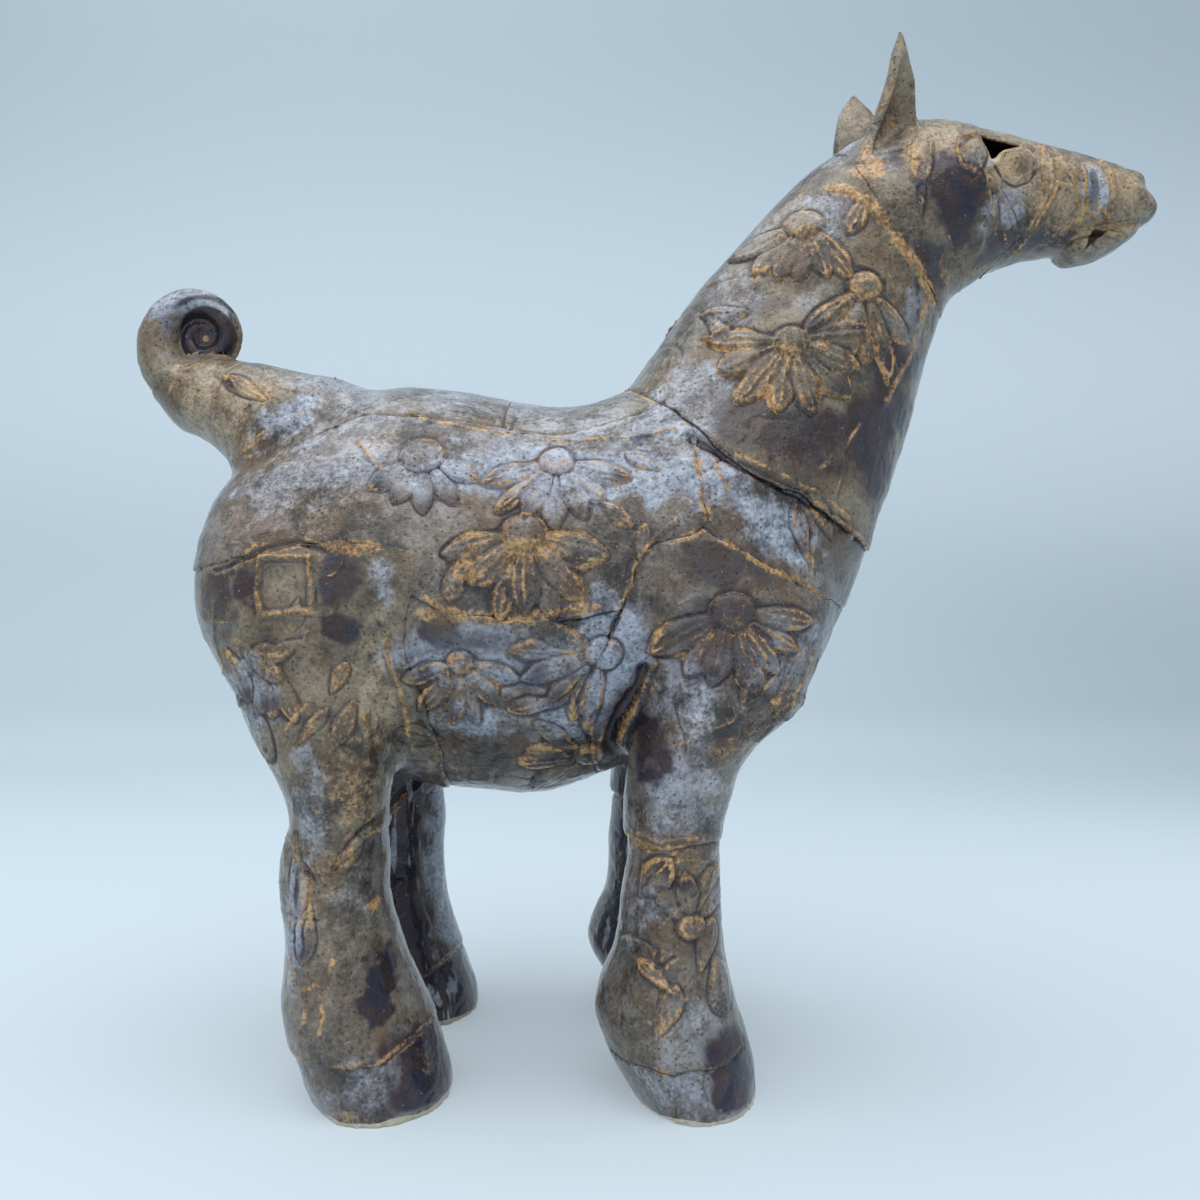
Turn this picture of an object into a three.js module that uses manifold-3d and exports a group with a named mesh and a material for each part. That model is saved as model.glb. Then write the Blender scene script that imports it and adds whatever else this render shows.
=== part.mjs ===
// A standing horse figurine in glazed stoneware, built by hand from clay slabs and hollow inside.
// Millimetres. The nose points along +X, the horse's left side is +Y and the feet stand on z = 0.
// The form is a set of lofted tubes: barrel, neck, head, four legs and the tail. They are joined,
// hollowed by the slab's thickness, and then parted along the potter's seams into the slabs.
import * as THREE from 'three';
import { mergeVertices } from 'three/addons/utils/BufferGeometryUtils.js';
import Module from 'manifold-3d';

const wasm = await Module();
wasm.setup();

// Driving dimensions.
const SLAB = 7; // thickness of a clay slab
const SEAM = 0.3; // open width of a luted seam between two slabs
const SOLE = 8; // thickness of clay under a hoof
const TAIL_WALL = 5.5;
const BARREL_HALF_WIDTH = 64;
const NECK_HALF_WIDTH = 58; // at its root, from where it tapers
const SKULL_HALF_WIDTH = 31.5;
const LEG_SPREAD = 43; // from the middle plane to the middle of a leg at the ground
const HOOF_HALF_WIDTH = 28;
const CORONET_HEIGHT = 18; // seam between a hoof and its cuff
const KNEE_HEIGHT = 84; // seam between a cuff and the slab above it
const BACK_STRIP_HALF_WIDTH = 34; // the strip of slabs along the spine
const LOIN_SEAM_X = -33;
const CROUP_SEAM_X = -78;
const EAR_TILT = 8; // how far an ear's tip leans out from its root
const EAR_ROOT_Y = 19;
const EAR_HALF_THICKNESS = 7.5;
const EAR_CUP_DEPTH = 5;
const EAR_WALL = 1.8; // at the rim of its cup
const TAIL_ROOT_HALF_WIDTH = 29;
const CURL_CENTRE = { x: -148.5, z: 264.5 };
const CURL_RADIUS = 24.5; // outside radius of the curl where it is widest, behind the tail
const CURL_SHRINK = 0.183; // how fast the curl winds in, per radian
const CURL_TUBE_SHARE = 0.31; // radius of the coil as a share of the curl's outside radius
const CURL_WIDTH_SHARE = 0.38;
const CURL_START = THREE.MathUtils.degToRad(236);
const CURL_END = THREE.MathUtils.degToRad(-330);
const JAW_HALF_WIDTH = 11;
const MOUTH_HALF_WIDTH = 10;

const BEYOND = 400; // longer than any cut needs to be
const SPINE = { low: 190, high: 280 }; // heights that the cuts across the back strip span
const SAMPLES_PER_ROW = 3; // sections that a hollow takes for each row of its table
const SLIMMEST = 1.4; // a hollow ends where a section's half height falls to this many walls
const SAMPLES_PER_CHEEK = 96;
const LOWEST_SECTION = 1; // the last free section of a leg's inside, above its sole

// Stations of the lofts. Each row is x and z of the section's upper (or front) edge, x and z of its
// lower (or rear) edge, the half width as a share, and how far its middle is along the spread.
const BARREL = [
  [-141, 186, -141, 154, 0.3],
  [-136, 203, -137, 140, 0.58],
  [-124, 218, -125, 126, 0.79],
  [-104, 234, -104, 113, 0.93],
  [-80, 244.5, -80, 104, 0.99],
  [-50, 243.5, -50, 99, 1],
  [-20, 238.5, -20, 97.5, 0.99],
  [5, 238, 5, 101, 0.97],
  [30, 235, 30, 107, 0.94],
  [52, 224, 52, 114, 0.89],
  [67, 206, 68, 123, 0.78],
  [76, 187, 77, 136, 0.57],
  [80, 172, 81, 148, 0.28],
];
const NECK = [
  [-10, 225, 68, 130, 0.96],
  [2, 237, 80, 147, 1],
  [10, 244, 90, 165, 0.97],
  [17, 253, 98, 184, 0.9],
  [26, 265, 105.5, 204, 0.82],
  [36, 279, 112, 222, 0.75],
  [47, 293, 117, 240, 0.69],
  [58, 306, 121.5, 256, 0.64],
  [70, 318.5, 127, 271, 0.59],
  [82, 328.5, 132, 281, 0.56],
  [92, 334, 138, 288, 0.47],
];
const HEAD = [
  [88, 324, 104, 292, 0.55],
  [97, 339, 116, 281, 0.92],
  [108, 345, 127, 280, 1],
  [120, 346, 137, 283.5, 0.98],
  [132, 344.5, 146, 288, 0.92],
  [145, 342, 153, 291, 0.82],
  [158, 339, 161, 293.5, 0.71],
  [170, 336, 170, 296.5, 0.62],
  [181, 333, 179, 298.5, 0.57],
  [191, 330, 188, 300.5, 0.56],
  [199, 327, 196, 302, 0.54],
  [205, 322, 203, 304.5, 0.44],
  [208, 315, 207.5, 308, 0.2],
];
const JAW = [
  [162, 295, 163, 290.8, 0.5],
  [170, 297.6, 171, 290.6, 0.9],
  [180, 299.6, 180, 291.8, 1],
  [189, 301, 190, 294.4, 0.98],
  [197, 302, 197.5, 298.6, 0.6],
];
const HIND_LEG = [
  [-78, 186, -136, 186, 0.8, 0.78],
  [-69, 166, -141.5, 166, 0.98, 0.84],
  [-66, 150, -137, 150, 0.98, 0.88],
  [-67, 135, -129, 135, 0.93, 0.93],
  [-69, 120, -121, 120, 0.88, 0.95],
  [-71, 105, -112, 105, 0.82, 0.98],
  [-72, 92, -106, 92, 0.76, 1],
  [-72, 80, -107, 80, 0.75, 1],
  [-72, 67, -109, 67, 0.77, 1],
  [-69, 55, -108, 55, 0.82, 1],
  [-64.5, 42, -107, 42, 0.9, 1],
  [-58.5, 30, -107, 30, 0.97, 1],
  [-53.5, 18, -105, 18, 1, 1],
  [-50, 8, -101, 8, 1.01, 1],
  [-50.5, 0, -97, 0, 0.97, 1],
];
const FORE_LEG = [
  [76, 186, 27, 186, 0.75, 0.7],
  [82, 166, 21, 166, 0.93, 0.77],
  [79, 150, 17, 150, 0.97, 0.82],
  [74, 136, 14, 136, 0.97, 0.87],
  [65, 123, 11.5, 123, 0.93, 0.92],
  [52.5, 110, 9.5, 110, 0.85, 0.96],
  [45, 98, 8.5, 98, 0.76, 1],
  [41, 88, 9, 88, 0.71, 1],
  [40, 80, 9, 80, 0.71, 1],
  [40.5, 68, 7, 68, 0.73, 1],
  [41, 57, 6, 57, 0.79, 1],
  [42, 48, 4, 48, 0.85, 1],
  [44.5, 38, -0.5, 38, 0.93, 1],
  [47.5, 28, -2, 28, 0.98, 1],
  [50, 19, -0.5, 19, 1, 1],
  [52, 10, 4, 10, 1, 1],
  [52, 0, 10, 0, 0.95, 1],
];
const TAIL_CONE = [
  [-84, 240, -112, 194, 0.85],
  [-95, 248.5, -133, 213, 1],
  [-108, 251.5, -142, 222.5, 0.87],
  [-122, 254.5, -150, 228.5, 0.73],
  [-134, 257, -156.5, 232, 0.6],
  [-145, 258, -162, 237.5, 0.48],
  [-154.5, 256.5, -166, 242, 0.4],
];
// An ear's rows: x of its front and rear edges, height, and its thickness and lean as shares.
const EAR = [
  [114, 322, 90, 322, 1.05, 0],
  [112.5, 333, 95, 333, 1, 0.15],
  [111.5, 342, 98.5, 342, 0.88, 0.4],
  [110.8, 350, 100.8, 350, 0.72, 0.62],
  [109, 358, 102.5, 358, 0.5, 0.82],
  [106.3, 366.5, 105, 366.5, 0.14, 1],
];

// Seams, as lines in the side view.
const NECK_ROOT_SEAM = [[-10, 262], [8, 244], [31, 225], [46, 211], [67, 200], [86, 189], [130, 172]];
const COLLAR_SEAM = [[33, 190], [53, 178], [83, 164], [130, 148]];
const SHOULDER_SEAM = [[31, 225], [33, 205], [33, 190], [14, 182], [10, 170], [8, 163.5]];
const GIRTH_SEAM = [[8, 163.5], [0, 147], [-5, 133], [-4, 120], [3, 84.5]];
const FLANK_SEAM = [[-61, 168], [-52, 164], [-26, 158.5], [0, 162.5], [8, 163.5]];
const HAUNCH_TOP_SEAM = [[-170, 173], [-122, 179], [-91, 184], [-58, 181]];
const HAUNCH_FRONT_SEAM = [[-58, 181], [-61, 168], [-64, 150], [-57, 128], [-53, 84.5]];
const TAIL_ROOT_SEAM = [[-84, 262], [-95, 249], [-115, 227], [-152, 208]];
const DOCK_SEAM = [[-160, 216], [-92, 216], [-92, 195]];
const BACK_STRIP = [
  [-136, 216], ...TAIL_ROOT_SEAM.slice(0, 3).reverse(), [8, 262], ...NECK_ROOT_SEAM.slice(1, 3),
  [31, 195], [-100, 195], [-100, 216],
];
const HEAD_SEAM = [[74, 352], [88, 328], [94, 310], [106, 287], [121, 274], [140, 262]];
const CHEEK_SEAM = [[172, 352], [160, 328], [157, 313], [153, 302], [146, 291], [136, 272]];
// Where the middle plane is a seam: down the neck and breast, and down the rump below the tail.
const FRONT_MIDLINE = [
  ...NECK_ROOT_SEAM.slice(0, 3).reverse(), [8, 300], [60, 380], ...CHEEK_SEAM,
  [150, 100], [60, 60], ...GIRTH_SEAM.slice(2).reverse(), [20, 150],
];
const REAR_MIDLINE = [
  [-190, 216], [-100, 216], [-80, 150], [-70, 120], [-55, 110], [-53, 84.5], [-120, 60], [-190, 180],
];
const EYE_HOLE = [[133.5, 328.5], [146, 324.3], [139, 323.2], [136.3, 320.5]];
const MOUTH = [[179, 299], [184.5, 304.6], [194, 305.2], [206, 304.6], [206, 298], [180, 290]];
// The pads are pressed into the cheek. Their middles lie inside its surface by the sink.
const EYELID = { x: 145.5, z: 320.2, length: 9.5, height: 5.4, sink: 5.1, depth: 7, slope: -0.06 };
const BROW_PAD = { x: 130.5, z: 322, length: 7, height: 10, sink: 4.6, depth: 7.5, slope: 0.1 };

// A point on the smooth curve through the rows. Position 1.5 lies midway between rows 1 and 2.
function rowAt(rows, position) {
  const last = rows.length - 1;
  const i = Math.min(Math.floor(position), last - 1);
  const f = position - i;
  const [a, b, c, d] = [rows[Math.max(i - 1, 0)], rows[i], rows[i + 1], rows[Math.min(i + 2, last)]];
  return b.map((_, k) => 0.5 * (2 * b[k] + (c[k] - a[k]) * f
    + (2 * a[k] - 5 * b[k] + 4 * c[k] - d[k]) * f * f
    + (3 * b[k] - a[k] - 3 * c[k] + d[k]) * f * f * f));
}

// Turns a table's shares into millimetres: [xa, za, xb, zb, half width, y of the middle].
function stations(table, halfWidth, spread = 0, root = 0) {
  return table.map(([xa, za, xb, zb, w, s = 0]) => [xa, za, xb, zb, w * halfWidth, root + s * spread]);
}

const heightOf = ([xa, za, xb, zb]) => Math.hypot(xa - xb, za - zb);
const gapBetween = (a, b) => Math.hypot(a[0] + a[2] - b[0] - b[2], a[1] + a[3] - b[1] - b[3]) / 2;

// Sections smaller by t all round, or larger where t is negative. They stop t short of the ends.
function inset(rows, t) {
  const steps = SAMPLES_PER_ROW * (rows.length - 1);
  return Array.from({ length: steps + 1 }, (_, i) => rowAt(rows, i / SAMPLES_PER_ROW))
    .filter((row) => Math.min(heightOf(row) / 2, row[4]) > SLIMMEST * t)
    .filter((row) => Math.min(gapBetween(row, rows[0]), gapBetween(row, rows[rows.length - 1])) >= t)
    .map(([xa, za, xb, zb, w, y]) => {
      const k = t / Math.hypot(xa - xb, za - zb);
      return [xa + (xb - xa) * k, za + (zb - za) * k, xb - (xb - xa) * k, zb - (zb - za) * k, w - t, y];
    });
}

// A closed tube through elliptical sections.
function loft(rows, rings, sides) {
  const points = [];
  const faces = [];
  for (let r = 0; r < rings; r++) {
    const [xa, za, xb, zb, w, y] = rowAt(rows, (r / (rings - 1)) * (rows.length - 1));
    for (let s = 0; s < sides; s++) {
      const angle = (2 * Math.PI * s) / sides;
      const c = Math.cos(angle) / 2;
      points.push((xa + xb) / 2 + c * (xa - xb), y + w * Math.sin(angle), (za + zb) / 2 + c * (za - zb));
    }
  }
  for (const row of [rows[0], rows[rows.length - 1]]) {
    points.push((row[0] + row[2]) / 2, row[5], (row[1] + row[3]) / 2);
  }
  const [start, end] = [rings * sides, rings * sides + 1];
  for (let s = 0; s < sides; s++) {
    const t = (s + 1) % sides;
    for (let r = 0; r < rings - 1; r++) {
      const [a, b, c, d] = [r * sides + s, r * sides + t, (r + 1) * sides + t, (r + 1) * sides + s];
      faces.push(a, b, c, a, c, d);
    }
    faces.push(start, t, s, end, (rings - 1) * sides + s, (rings - 1) * sides + t);
  }
  const geometry = new THREE.BufferGeometry();
  geometry.setAttribute('position', new THREE.Float32BufferAttribute(points, 3));
  geometry.setIndex(faces);
  return geometry;
}

function solidOf(geometry) {
  const bare = geometry.clone();
  bare.deleteAttribute('normal');
  bare.deleteAttribute('uv');
  const merged = mergeVertices(bare, 1e-4);
  const make = (index) => new wasm.Manifold(new wasm.Mesh({
    numProp: 3,
    vertProperties: merged.attributes.position.array,
    triVerts: index,
  }));
  const made = make(new Uint32Array(merged.index.array));
  return made.volume() > 0 ? made : make(new Uint32Array(merged.index.array).reverse());
}

const tube = (rows, rings, sides) => solidOf(loft(rows, rings, sides));
const joined = (solids) => solids.reduce((a, b) => a.add(b));

// A side-view outline, drawn in x and z, pushed through from y = low to y = high.
function prism(outline, low, high) {
  const shape = new THREE.Shape(outline.map(([x, z]) => new THREE.Vector2(x, z)));
  const geometry = new THREE.ExtrudeGeometry(shape, { depth: high - low, bevelEnabled: false });
  return solidOf(geometry.rotateX(Math.PI / 2).translate(0, high, 0));
}

// The sliver of space that a seam takes: a line in the side view, as wide as the seam.
function seamCut(line, low = -BEYOND, high = BEYOND) {
  const sideOf = (sign) => line.map(([x, z], i) => {
    const [x0, z0] = line[Math.max(i - 1, 0)];
    const [x1, z1] = line[Math.min(i + 1, line.length - 1)];
    const k = (sign * SEAM) / 2 / Math.hypot(x1 - x0, z1 - z0);
    return [x - (z1 - z0) * k, z + (x1 - x0) * k];
  });
  return prism([...sideOf(1), ...sideOf(-1).reverse()], low, high);
}

const levelCut = (z) => solidOf(new THREE.BoxGeometry(2 * BEYOND, 2 * BEYOND, SEAM).translate(0, 0, z));

// The tubes of the body, outside and inside.
const barrel = stations(BARREL, BARREL_HALF_WIDTH);
const neck = stations(NECK, NECK_HALF_WIDTH);
const head = stations(HEAD, SKULL_HALF_WIDTH);
const cone = stations(TAIL_CONE, TAIL_ROOT_HALF_WIDTH);

// How far the cheek stands out from the middle plane at a place in the side view.
function cheekAt(x, z) {
  const count = SAMPLES_PER_CHEEK;
  const sections = Array.from({ length: count + 1 }, (_, i) => rowAt(head, (i / count) * (head.length - 1)));
  const offLine = ([xa, za, xb, zb]) => (
    Math.abs((x - xa) * (zb - za) - (z - za) * (xb - xa)) / Math.hypot(xb - xa, zb - za)
  );
  const [xa, za, xb, zb, w] = sections.reduce((a, b) => (offLine(a) <= offLine(b) ? a : b));
  const share = ((x - xa) * (xb - xa) + (z - za) * (zb - za)) / ((xb - xa) ** 2 + (zb - za) ** 2);
  return w * Math.sqrt(Math.max(0, 1 - (2 * share - 1) ** 2));
}

const pad = ({ x, z, length, height, sink, depth, slope }, side) => solidOf(
  new THREE.SphereGeometry(1, 14, 9).scale(length, depth, height).rotateY(slope)
    .translate(x, side * (cheekAt(x, z) - sink), z),
);
const legs = [
  stations(HIND_LEG, HOOF_HALF_WIDTH, -LEG_SPREAD),
  stations(HIND_LEG, HOOF_HALF_WIDTH, LEG_SPREAD),
  stations(FORE_LEG, HOOF_HALF_WIDTH, -LEG_SPREAD),
  stations(FORE_LEG, HOOF_HALF_WIDTH, LEG_SPREAD),
];

// A leg's inside stops at the top of the sole.
function legInside(rows) {
  const within = inset(rows, SLAB).filter(([, z]) => z > SOLE + LOWEST_SECTION);
  const foot = within[within.length - 1].slice();
  foot[1] = SOLE;
  foot[3] = SOLE;
  return [...within, foot];
}

const outside = joined([
  tube(barrel, 17, 24), tube(neck, 12, 22), tube(head, 16, 18), tube(cone, 8, 16),
  ...legs.map((rows) => tube(rows, 15, 16)),
]);
const inside = joined([
  tube(inset(barrel, SLAB), 11, 16), tube(inset(neck, SLAB), 7, 14), tube(inset(head, SLAB), 8, 12),
  tube(inset(cone, TAIL_WALL), 5, 10), ...legs.map((rows) => tube(legInside(rows), 8, 10)),
]);

// The tail's curl: a coil that winds in on itself and thins as it goes.
function curlRows(grow) {
  const turns = 44;
  return Array.from({ length: turns + 1 }, (_, i) => {
    const angle = THREE.MathUtils.lerp(CURL_START, CURL_END, i / turns);
    const reach = CURL_RADIUS * Math.exp(-CURL_SHRINK * (Math.PI - angle));
    const inner = reach * (1 - 2 * CURL_TUBE_SHARE) - grow;
    const outer = reach + grow;
    const at = (r) => [CURL_CENTRE.x + r * Math.cos(angle), CURL_CENTRE.z + r * Math.sin(angle)];
    return [...at(outer), ...at(inner), reach * CURL_WIDTH_SHARE + grow, 0];
  });
}

const earRows = (side) => stations(EAR, EAR_HALF_THICKNESS, side * EAR_TILT, side * EAR_ROOT_Y);
function earCup(side) {
  const forward = EAR_CUP_DEPTH / 2;
  return inset(earRows(side), EAR_WALL)
    .map(([xa, za, xb, zb, w, y]) => [xa + forward, za, xb + forward, zb, w, y + side * EAR_CUP_DEPTH]);
}

const curl = tube(curlRows(0), 45, 10);
const grownHead = joined([tube(inset(head, -SEAM), 16, 18), tube(inset(neck, -SEAM), 12, 22)]);
const backSeam = (x) => seamCut(
  [[x, SPINE.low], [x, SPINE.high]], -BACK_STRIP_HALF_WIDTH, BACK_STRIP_HALF_WIDTH,
);
const sideView = [
  NECK_ROOT_SEAM, COLLAR_SEAM, SHOULDER_SEAM, GIRTH_SEAM, FLANK_SEAM, HAUNCH_TOP_SEAM,
  HAUNCH_FRONT_SEAM, TAIL_ROOT_SEAM, HEAD_SEAM, CHEEK_SEAM,
];
const cuts = [
  prism(EYE_HOLE, -BEYOND, BEYOND),
  prism(MOUTH, -MOUTH_HALF_WIDTH, MOUTH_HALF_WIDTH),
  tube(inset(stations(JAW, JAW_HALF_WIDTH), -SEAM), 9, 12),
  tube(curlRows(SEAM), 45, 10),
  ...sideView.map((line) => seamCut(line)),
  backSeam(LOIN_SEAM_X), backSeam(CROUP_SEAM_X),
  seamCut(DOCK_SEAM, -BACK_STRIP_HALF_WIDTH, BACK_STRIP_HALF_WIDTH),
  ...[-1, 1].map((side) => prism(
    BACK_STRIP, side * BACK_STRIP_HALF_WIDTH - SEAM / 2, side * BACK_STRIP_HALF_WIDTH + SEAM / 2,
  )),
  prism(FRONT_MIDLINE, -SEAM / 2, SEAM / 2),
  prism(REAR_MIDLINE, -SEAM / 2, SEAM / 2),
  levelCut(CORONET_HEIGHT), levelCut(KNEE_HEIGHT),
];
const slabs = cuts.reduce((shell, cut) => shell.subtract(cut), outside.subtract(inside)).decompose();

// The slab whose middle lies nearest to a place.
function slabNear(x, y, z) {
  const distance = (slab) => {
    const { min, max } = slab.boundingBox();
    return Math.hypot((min[0] + max[0]) / 2 - x, (min[1] + max[1]) / 2 - y, (min[2] + max[2]) / 2 - z);
  };
  return slabs.reduce((a, b) => (distance(a) <= distance(b) ? a : b));
}

// Fired glazes, as each batch of slabs took them.
const GLAZE = { bronze: 0x5d5348, slate: 0x666874, umber: 0x4b423c };

const horse = new THREE.Group();
horse.name = 'horse';

function addPiece(name, solid, glaze) {
  const { numProp, vertProperties, triVerts } = solid.getMesh();
  const corners = Array.from({ length: vertProperties.length / numProp }, (_, i) => (
    [...vertProperties.slice(i * numProp, i * numProp + 3)]
  )).flat();
  const geometry = new THREE.BufferGeometry();
  geometry.setAttribute('position', new THREE.Float32BufferAttribute(corners, 3));
  geometry.setIndex(new THREE.BufferAttribute(triVerts, 1));
  geometry.computeVertexNormals();
  const material = new THREE.MeshStandardMaterial({
    color: glaze, roughness: 0.38, metalness: 0.25, flatShading: true,
  });
  const mesh = new THREE.Mesh(geometry, material);
  mesh.name = name;
  horse.add(mesh);
}

// Slabs on the middle plane: name, glaze, and x and z near the slab's middle.
const MIDDLE_SLABS = [
  ['saddle_slab', GLAZE.bronze, -4, 230],
  ['loin_slab', GLAZE.bronze, -55, 232],
  ['croup_slab', GLAZE.bronze, -107, 232],
  ['belly_slab', GLAZE.slate, -28, 133],
  ['muzzle_slab', GLAZE.bronze, 176, 312],
  ['tail_cone', GLAZE.bronze, -130, 237],
];
for (const [name, glaze, x, z] of MIDDLE_SLABS) addPiece(name, slabNear(x, 0, z), glaze);

// Slabs that come in pairs: name, glaze, x, distance from the middle plane, and z.
const PAIRED_SLABS = [
  ['flank_slab', GLAZE.slate, -54, 35, 195],
  ['haunch_slab', GLAZE.bronze, -98, 33, 134],
  ['shoulder_slab', GLAZE.slate, 42, 33, 137],
  ['collar_slab', GLAZE.slate, 65, 29, 193],
  ['neck_slab', GLAZE.bronze, 68, 28, 258],
  ['head_slab', GLAZE.bronze, 125, 17, 308],
  ['hind_cuff', GLAZE.umber, -81, LEG_SPREAD, 51],
  ['fore_cuff', GLAZE.umber, 24, LEG_SPREAD, 51],
  ['hind_hoof', GLAZE.slate, -77, LEG_SPREAD, 9],
  ['fore_hoof', GLAZE.slate, 26, LEG_SPREAD, 9],
];
for (const [sideName, side] of [['right', -1], ['left', 1]]) {
  for (const [name, glaze, x, y, z] of PAIRED_SLABS) {
    addPiece(`${sideName}_${name}`, slabNear(x, side * y, z), glaze);
  }
  const ear = tube(earRows(side), 11, 12).subtract(tube(earCup(side), 7, 8)).subtract(grownHead);
  addPiece(`${sideName}_ear`, ear, GLAZE.bronze);
  addPiece(`${sideName}_eyelid`, pad(EYELID, side).subtract(grownHead), GLAZE.bronze);
  addPiece(`${sideName}_brow_pad`, pad(BROW_PAD, side).subtract(grownHead), GLAZE.umber);
}
addPiece('tail_curl', curl, GLAZE.bronze);
addPiece('lower_jaw', tube(stations(JAW, JAW_HALF_WIDTH), 9, 12), GLAZE.bronze);

// The origin is on the ground, under the middle of the horse's length.
const reach = new THREE.Box3().setFromObject(horse);
horse.position.x = -(reach.min.x + reach.max.x) / 2;

export default horse;
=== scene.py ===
"""A horse figurine in glazed stoneware, built by hand from clay slabs.

Shapes are worked out in millimetres in the sketch frame of the CAD source, where the nose points
along +X, the feet stand on z = 0 and the photograph shows the side at -Y. Every slab is cut from
one body field, meshed, and pressed with its relief.
"""
import math

import bpy
import numpy as np
import openvdb as vdb
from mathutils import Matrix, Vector


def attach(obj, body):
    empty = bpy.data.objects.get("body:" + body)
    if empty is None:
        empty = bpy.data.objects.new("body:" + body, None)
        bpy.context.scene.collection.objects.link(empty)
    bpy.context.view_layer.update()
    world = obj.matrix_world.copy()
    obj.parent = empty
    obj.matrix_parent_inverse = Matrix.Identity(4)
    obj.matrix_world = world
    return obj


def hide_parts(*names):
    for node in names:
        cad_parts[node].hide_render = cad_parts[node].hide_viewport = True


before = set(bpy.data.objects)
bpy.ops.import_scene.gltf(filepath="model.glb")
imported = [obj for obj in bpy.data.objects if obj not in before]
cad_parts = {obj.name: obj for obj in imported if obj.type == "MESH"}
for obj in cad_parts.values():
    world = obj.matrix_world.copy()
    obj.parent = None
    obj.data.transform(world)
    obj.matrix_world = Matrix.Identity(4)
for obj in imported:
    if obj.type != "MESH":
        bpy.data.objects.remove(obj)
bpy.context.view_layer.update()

SHIFT = -17.36  # from the sketch frame to the part's own, along x
MM = 0.001
BAND = 15.0  # how deep a field reaches
COARSE = 1.25
FINE = 0.8
FINEST = FINE * 0.7
FINE_DEPTH = 2.2  # how deep under the skin a slab's mesh is split finer
LAYER_TOP = 1.4  # the most that any layer holds: glaze, painted sheen and painted shade alike

# The photograph: its side in pixels, the camera's height and its way to the middle plane.
PHOTO_SIDE = 1200
EYE_LEVEL = 166.0
REACH = 450.0

# Walls and joints.
WALL = 7.0
TAIL_WALL = 5.5
EAR_WALL = 1.8
SOLE = 8.0
COIL_GAP = 0.3  # between the tail's cone and its coil
CROUP_OVERLAP = 1.2  # how far the loin's strip and the croup's run into each other
GAP = -0.4  # how far a slab stays back from a seam's middle, less than nothing for an overlap
ROUND = 1.0  # how soft a slab's cut edge is
HOLE_ROUND = 0.8
PRESSED_IN = 1.2  # how deep a lump reaches into the head
HEAD_WEB = 2.5  # half the thickness of the clay in the head's middle plane
BEHIND_EYE, BEHIND_MOUTH = 3.0, 4.0  # the same, where an opening is in front of it
MUZZLE_FLOOR = 307.0  # the muzzle is solid below this height
STRIP_HALF_WIDTH = 38.0
LOIN_X = -33.0
CROUP_X = -78.0

# Half widths, which the stations below take a share of, and places across the horse.
BARREL_HALF_WIDTH = 64.0
NECK_HALF_WIDTH = 58.0
HEAD_HALF_WIDTH = 31.5
JAW_HALF_WIDTH = 11.0
CONE_HALF_WIDTH = 29.0
LEG_HALF_WIDTH = 28.0
LEG_MIDDLE = 43.0
EAR_HALF_WIDTH = 7.5
EAR_ROOT = -19.0
EAR_LEAN = -8.0
CUP_FORWARD, CUP_OUT = 2.5, -5.0  # how far the ear's hollow is moved from its middle

# How much fuller the left legs are, in front or behind, and the levels and spans it holds for.
HIND_FULLNESS = 8.8
FORE_FULLNESS = 4.2
KNEE_LEVEL, KNEE_SPAN = 78.0, 34.0
HOOF_LEVEL, HOOF_SPAN = 26.0, 16.0

# Lumps on the head, as centre, radii and slope.
NOSE_LEDGE = ((196.8, 0, 321.2), (5.9, 11, 4.2), 0.4)
UPPER_LIP = ((199.8, 0, 311.6), (7.0, 12, 5.8), 0.35)
EYELID = ((147.4, -21.3, 321.6), (8.2, 6.5, 5.4), 0.06)
BROW_PAD = ((130.6, -24.6, 322.6), (6.3, 7.4, 10.2), -0.1)

# The tail's coil, wound from one angle to the other in degrees.
COIL_CENTRE = (-148.5, 264.5)
COIL_HOLLOW = (-146.3, 264.2)  # the middle of what lies in shadow
COIL_GLINT = (-147.6, 263.8)  # a painted highlight in gold, on the point in the middle of the hollow
COIL_START, COIL_END, COIL_STEPS = 236, -330, 60
COIL_REACH = 23.6  # at 180 degrees
COIL_TIGHTENING = 0.183
COIL_CORE = 0.38  # a turn's inner side, as a share of its reach
WEB_HALF_WALL = 1.0
WEB_REACH = 15.0

FRAME_CENTRE = (-101.4, 170.5)  # of the plain pressed frame on the haunch
SIDES = ((-1, "right"), (1, "left"))

# Stations of the lofts: x and z of a section's upper or front edge, x and z of its lower or rear
# edge, its share of the half width and, for legs and ears, of the way out to its middle.
BARREL = [
    (-142, 186, -141, 154, 0.3), (-138.5, 204, -137, 140, 0.58), (-126, 219.5, -125, 126, 0.79),
    (-104, 233.5, -104, 112, 0.93), (-80, 244, -80, 102.5, 0.99), (-50, 243, -50, 97, 1),
    (-20, 238, -20, 95.5, 0.99), (5, 237.5, 5, 104, 0.97), (30, 235, 30, 113, 0.94),
    (52, 224, 52, 116, 0.89), (67, 206, 66, 126, 0.78), (75, 187, 74, 139, 0.57),
    (78, 172, 78, 150, 0.28),
]
NECK = [
    (-10, 225, 68, 130, 0.96), (1.5, 235.8, 80, 147, 1), (9.7, 243.2, 91, 165, 0.97),
    (16.4, 252.6, 98.6, 184, 0.9), (25.8, 265.3, 106, 204, 0.82), (35.8, 279, 112, 222, 0.75),
    (47, 293, 117, 240, 0.69), (58, 306, 121.5, 256, 0.64), (70, 318.5, 127, 271, 0.59),
    (82, 328.5, 132, 281, 0.56), (92, 334, 138, 288, 0.47),
]
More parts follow.
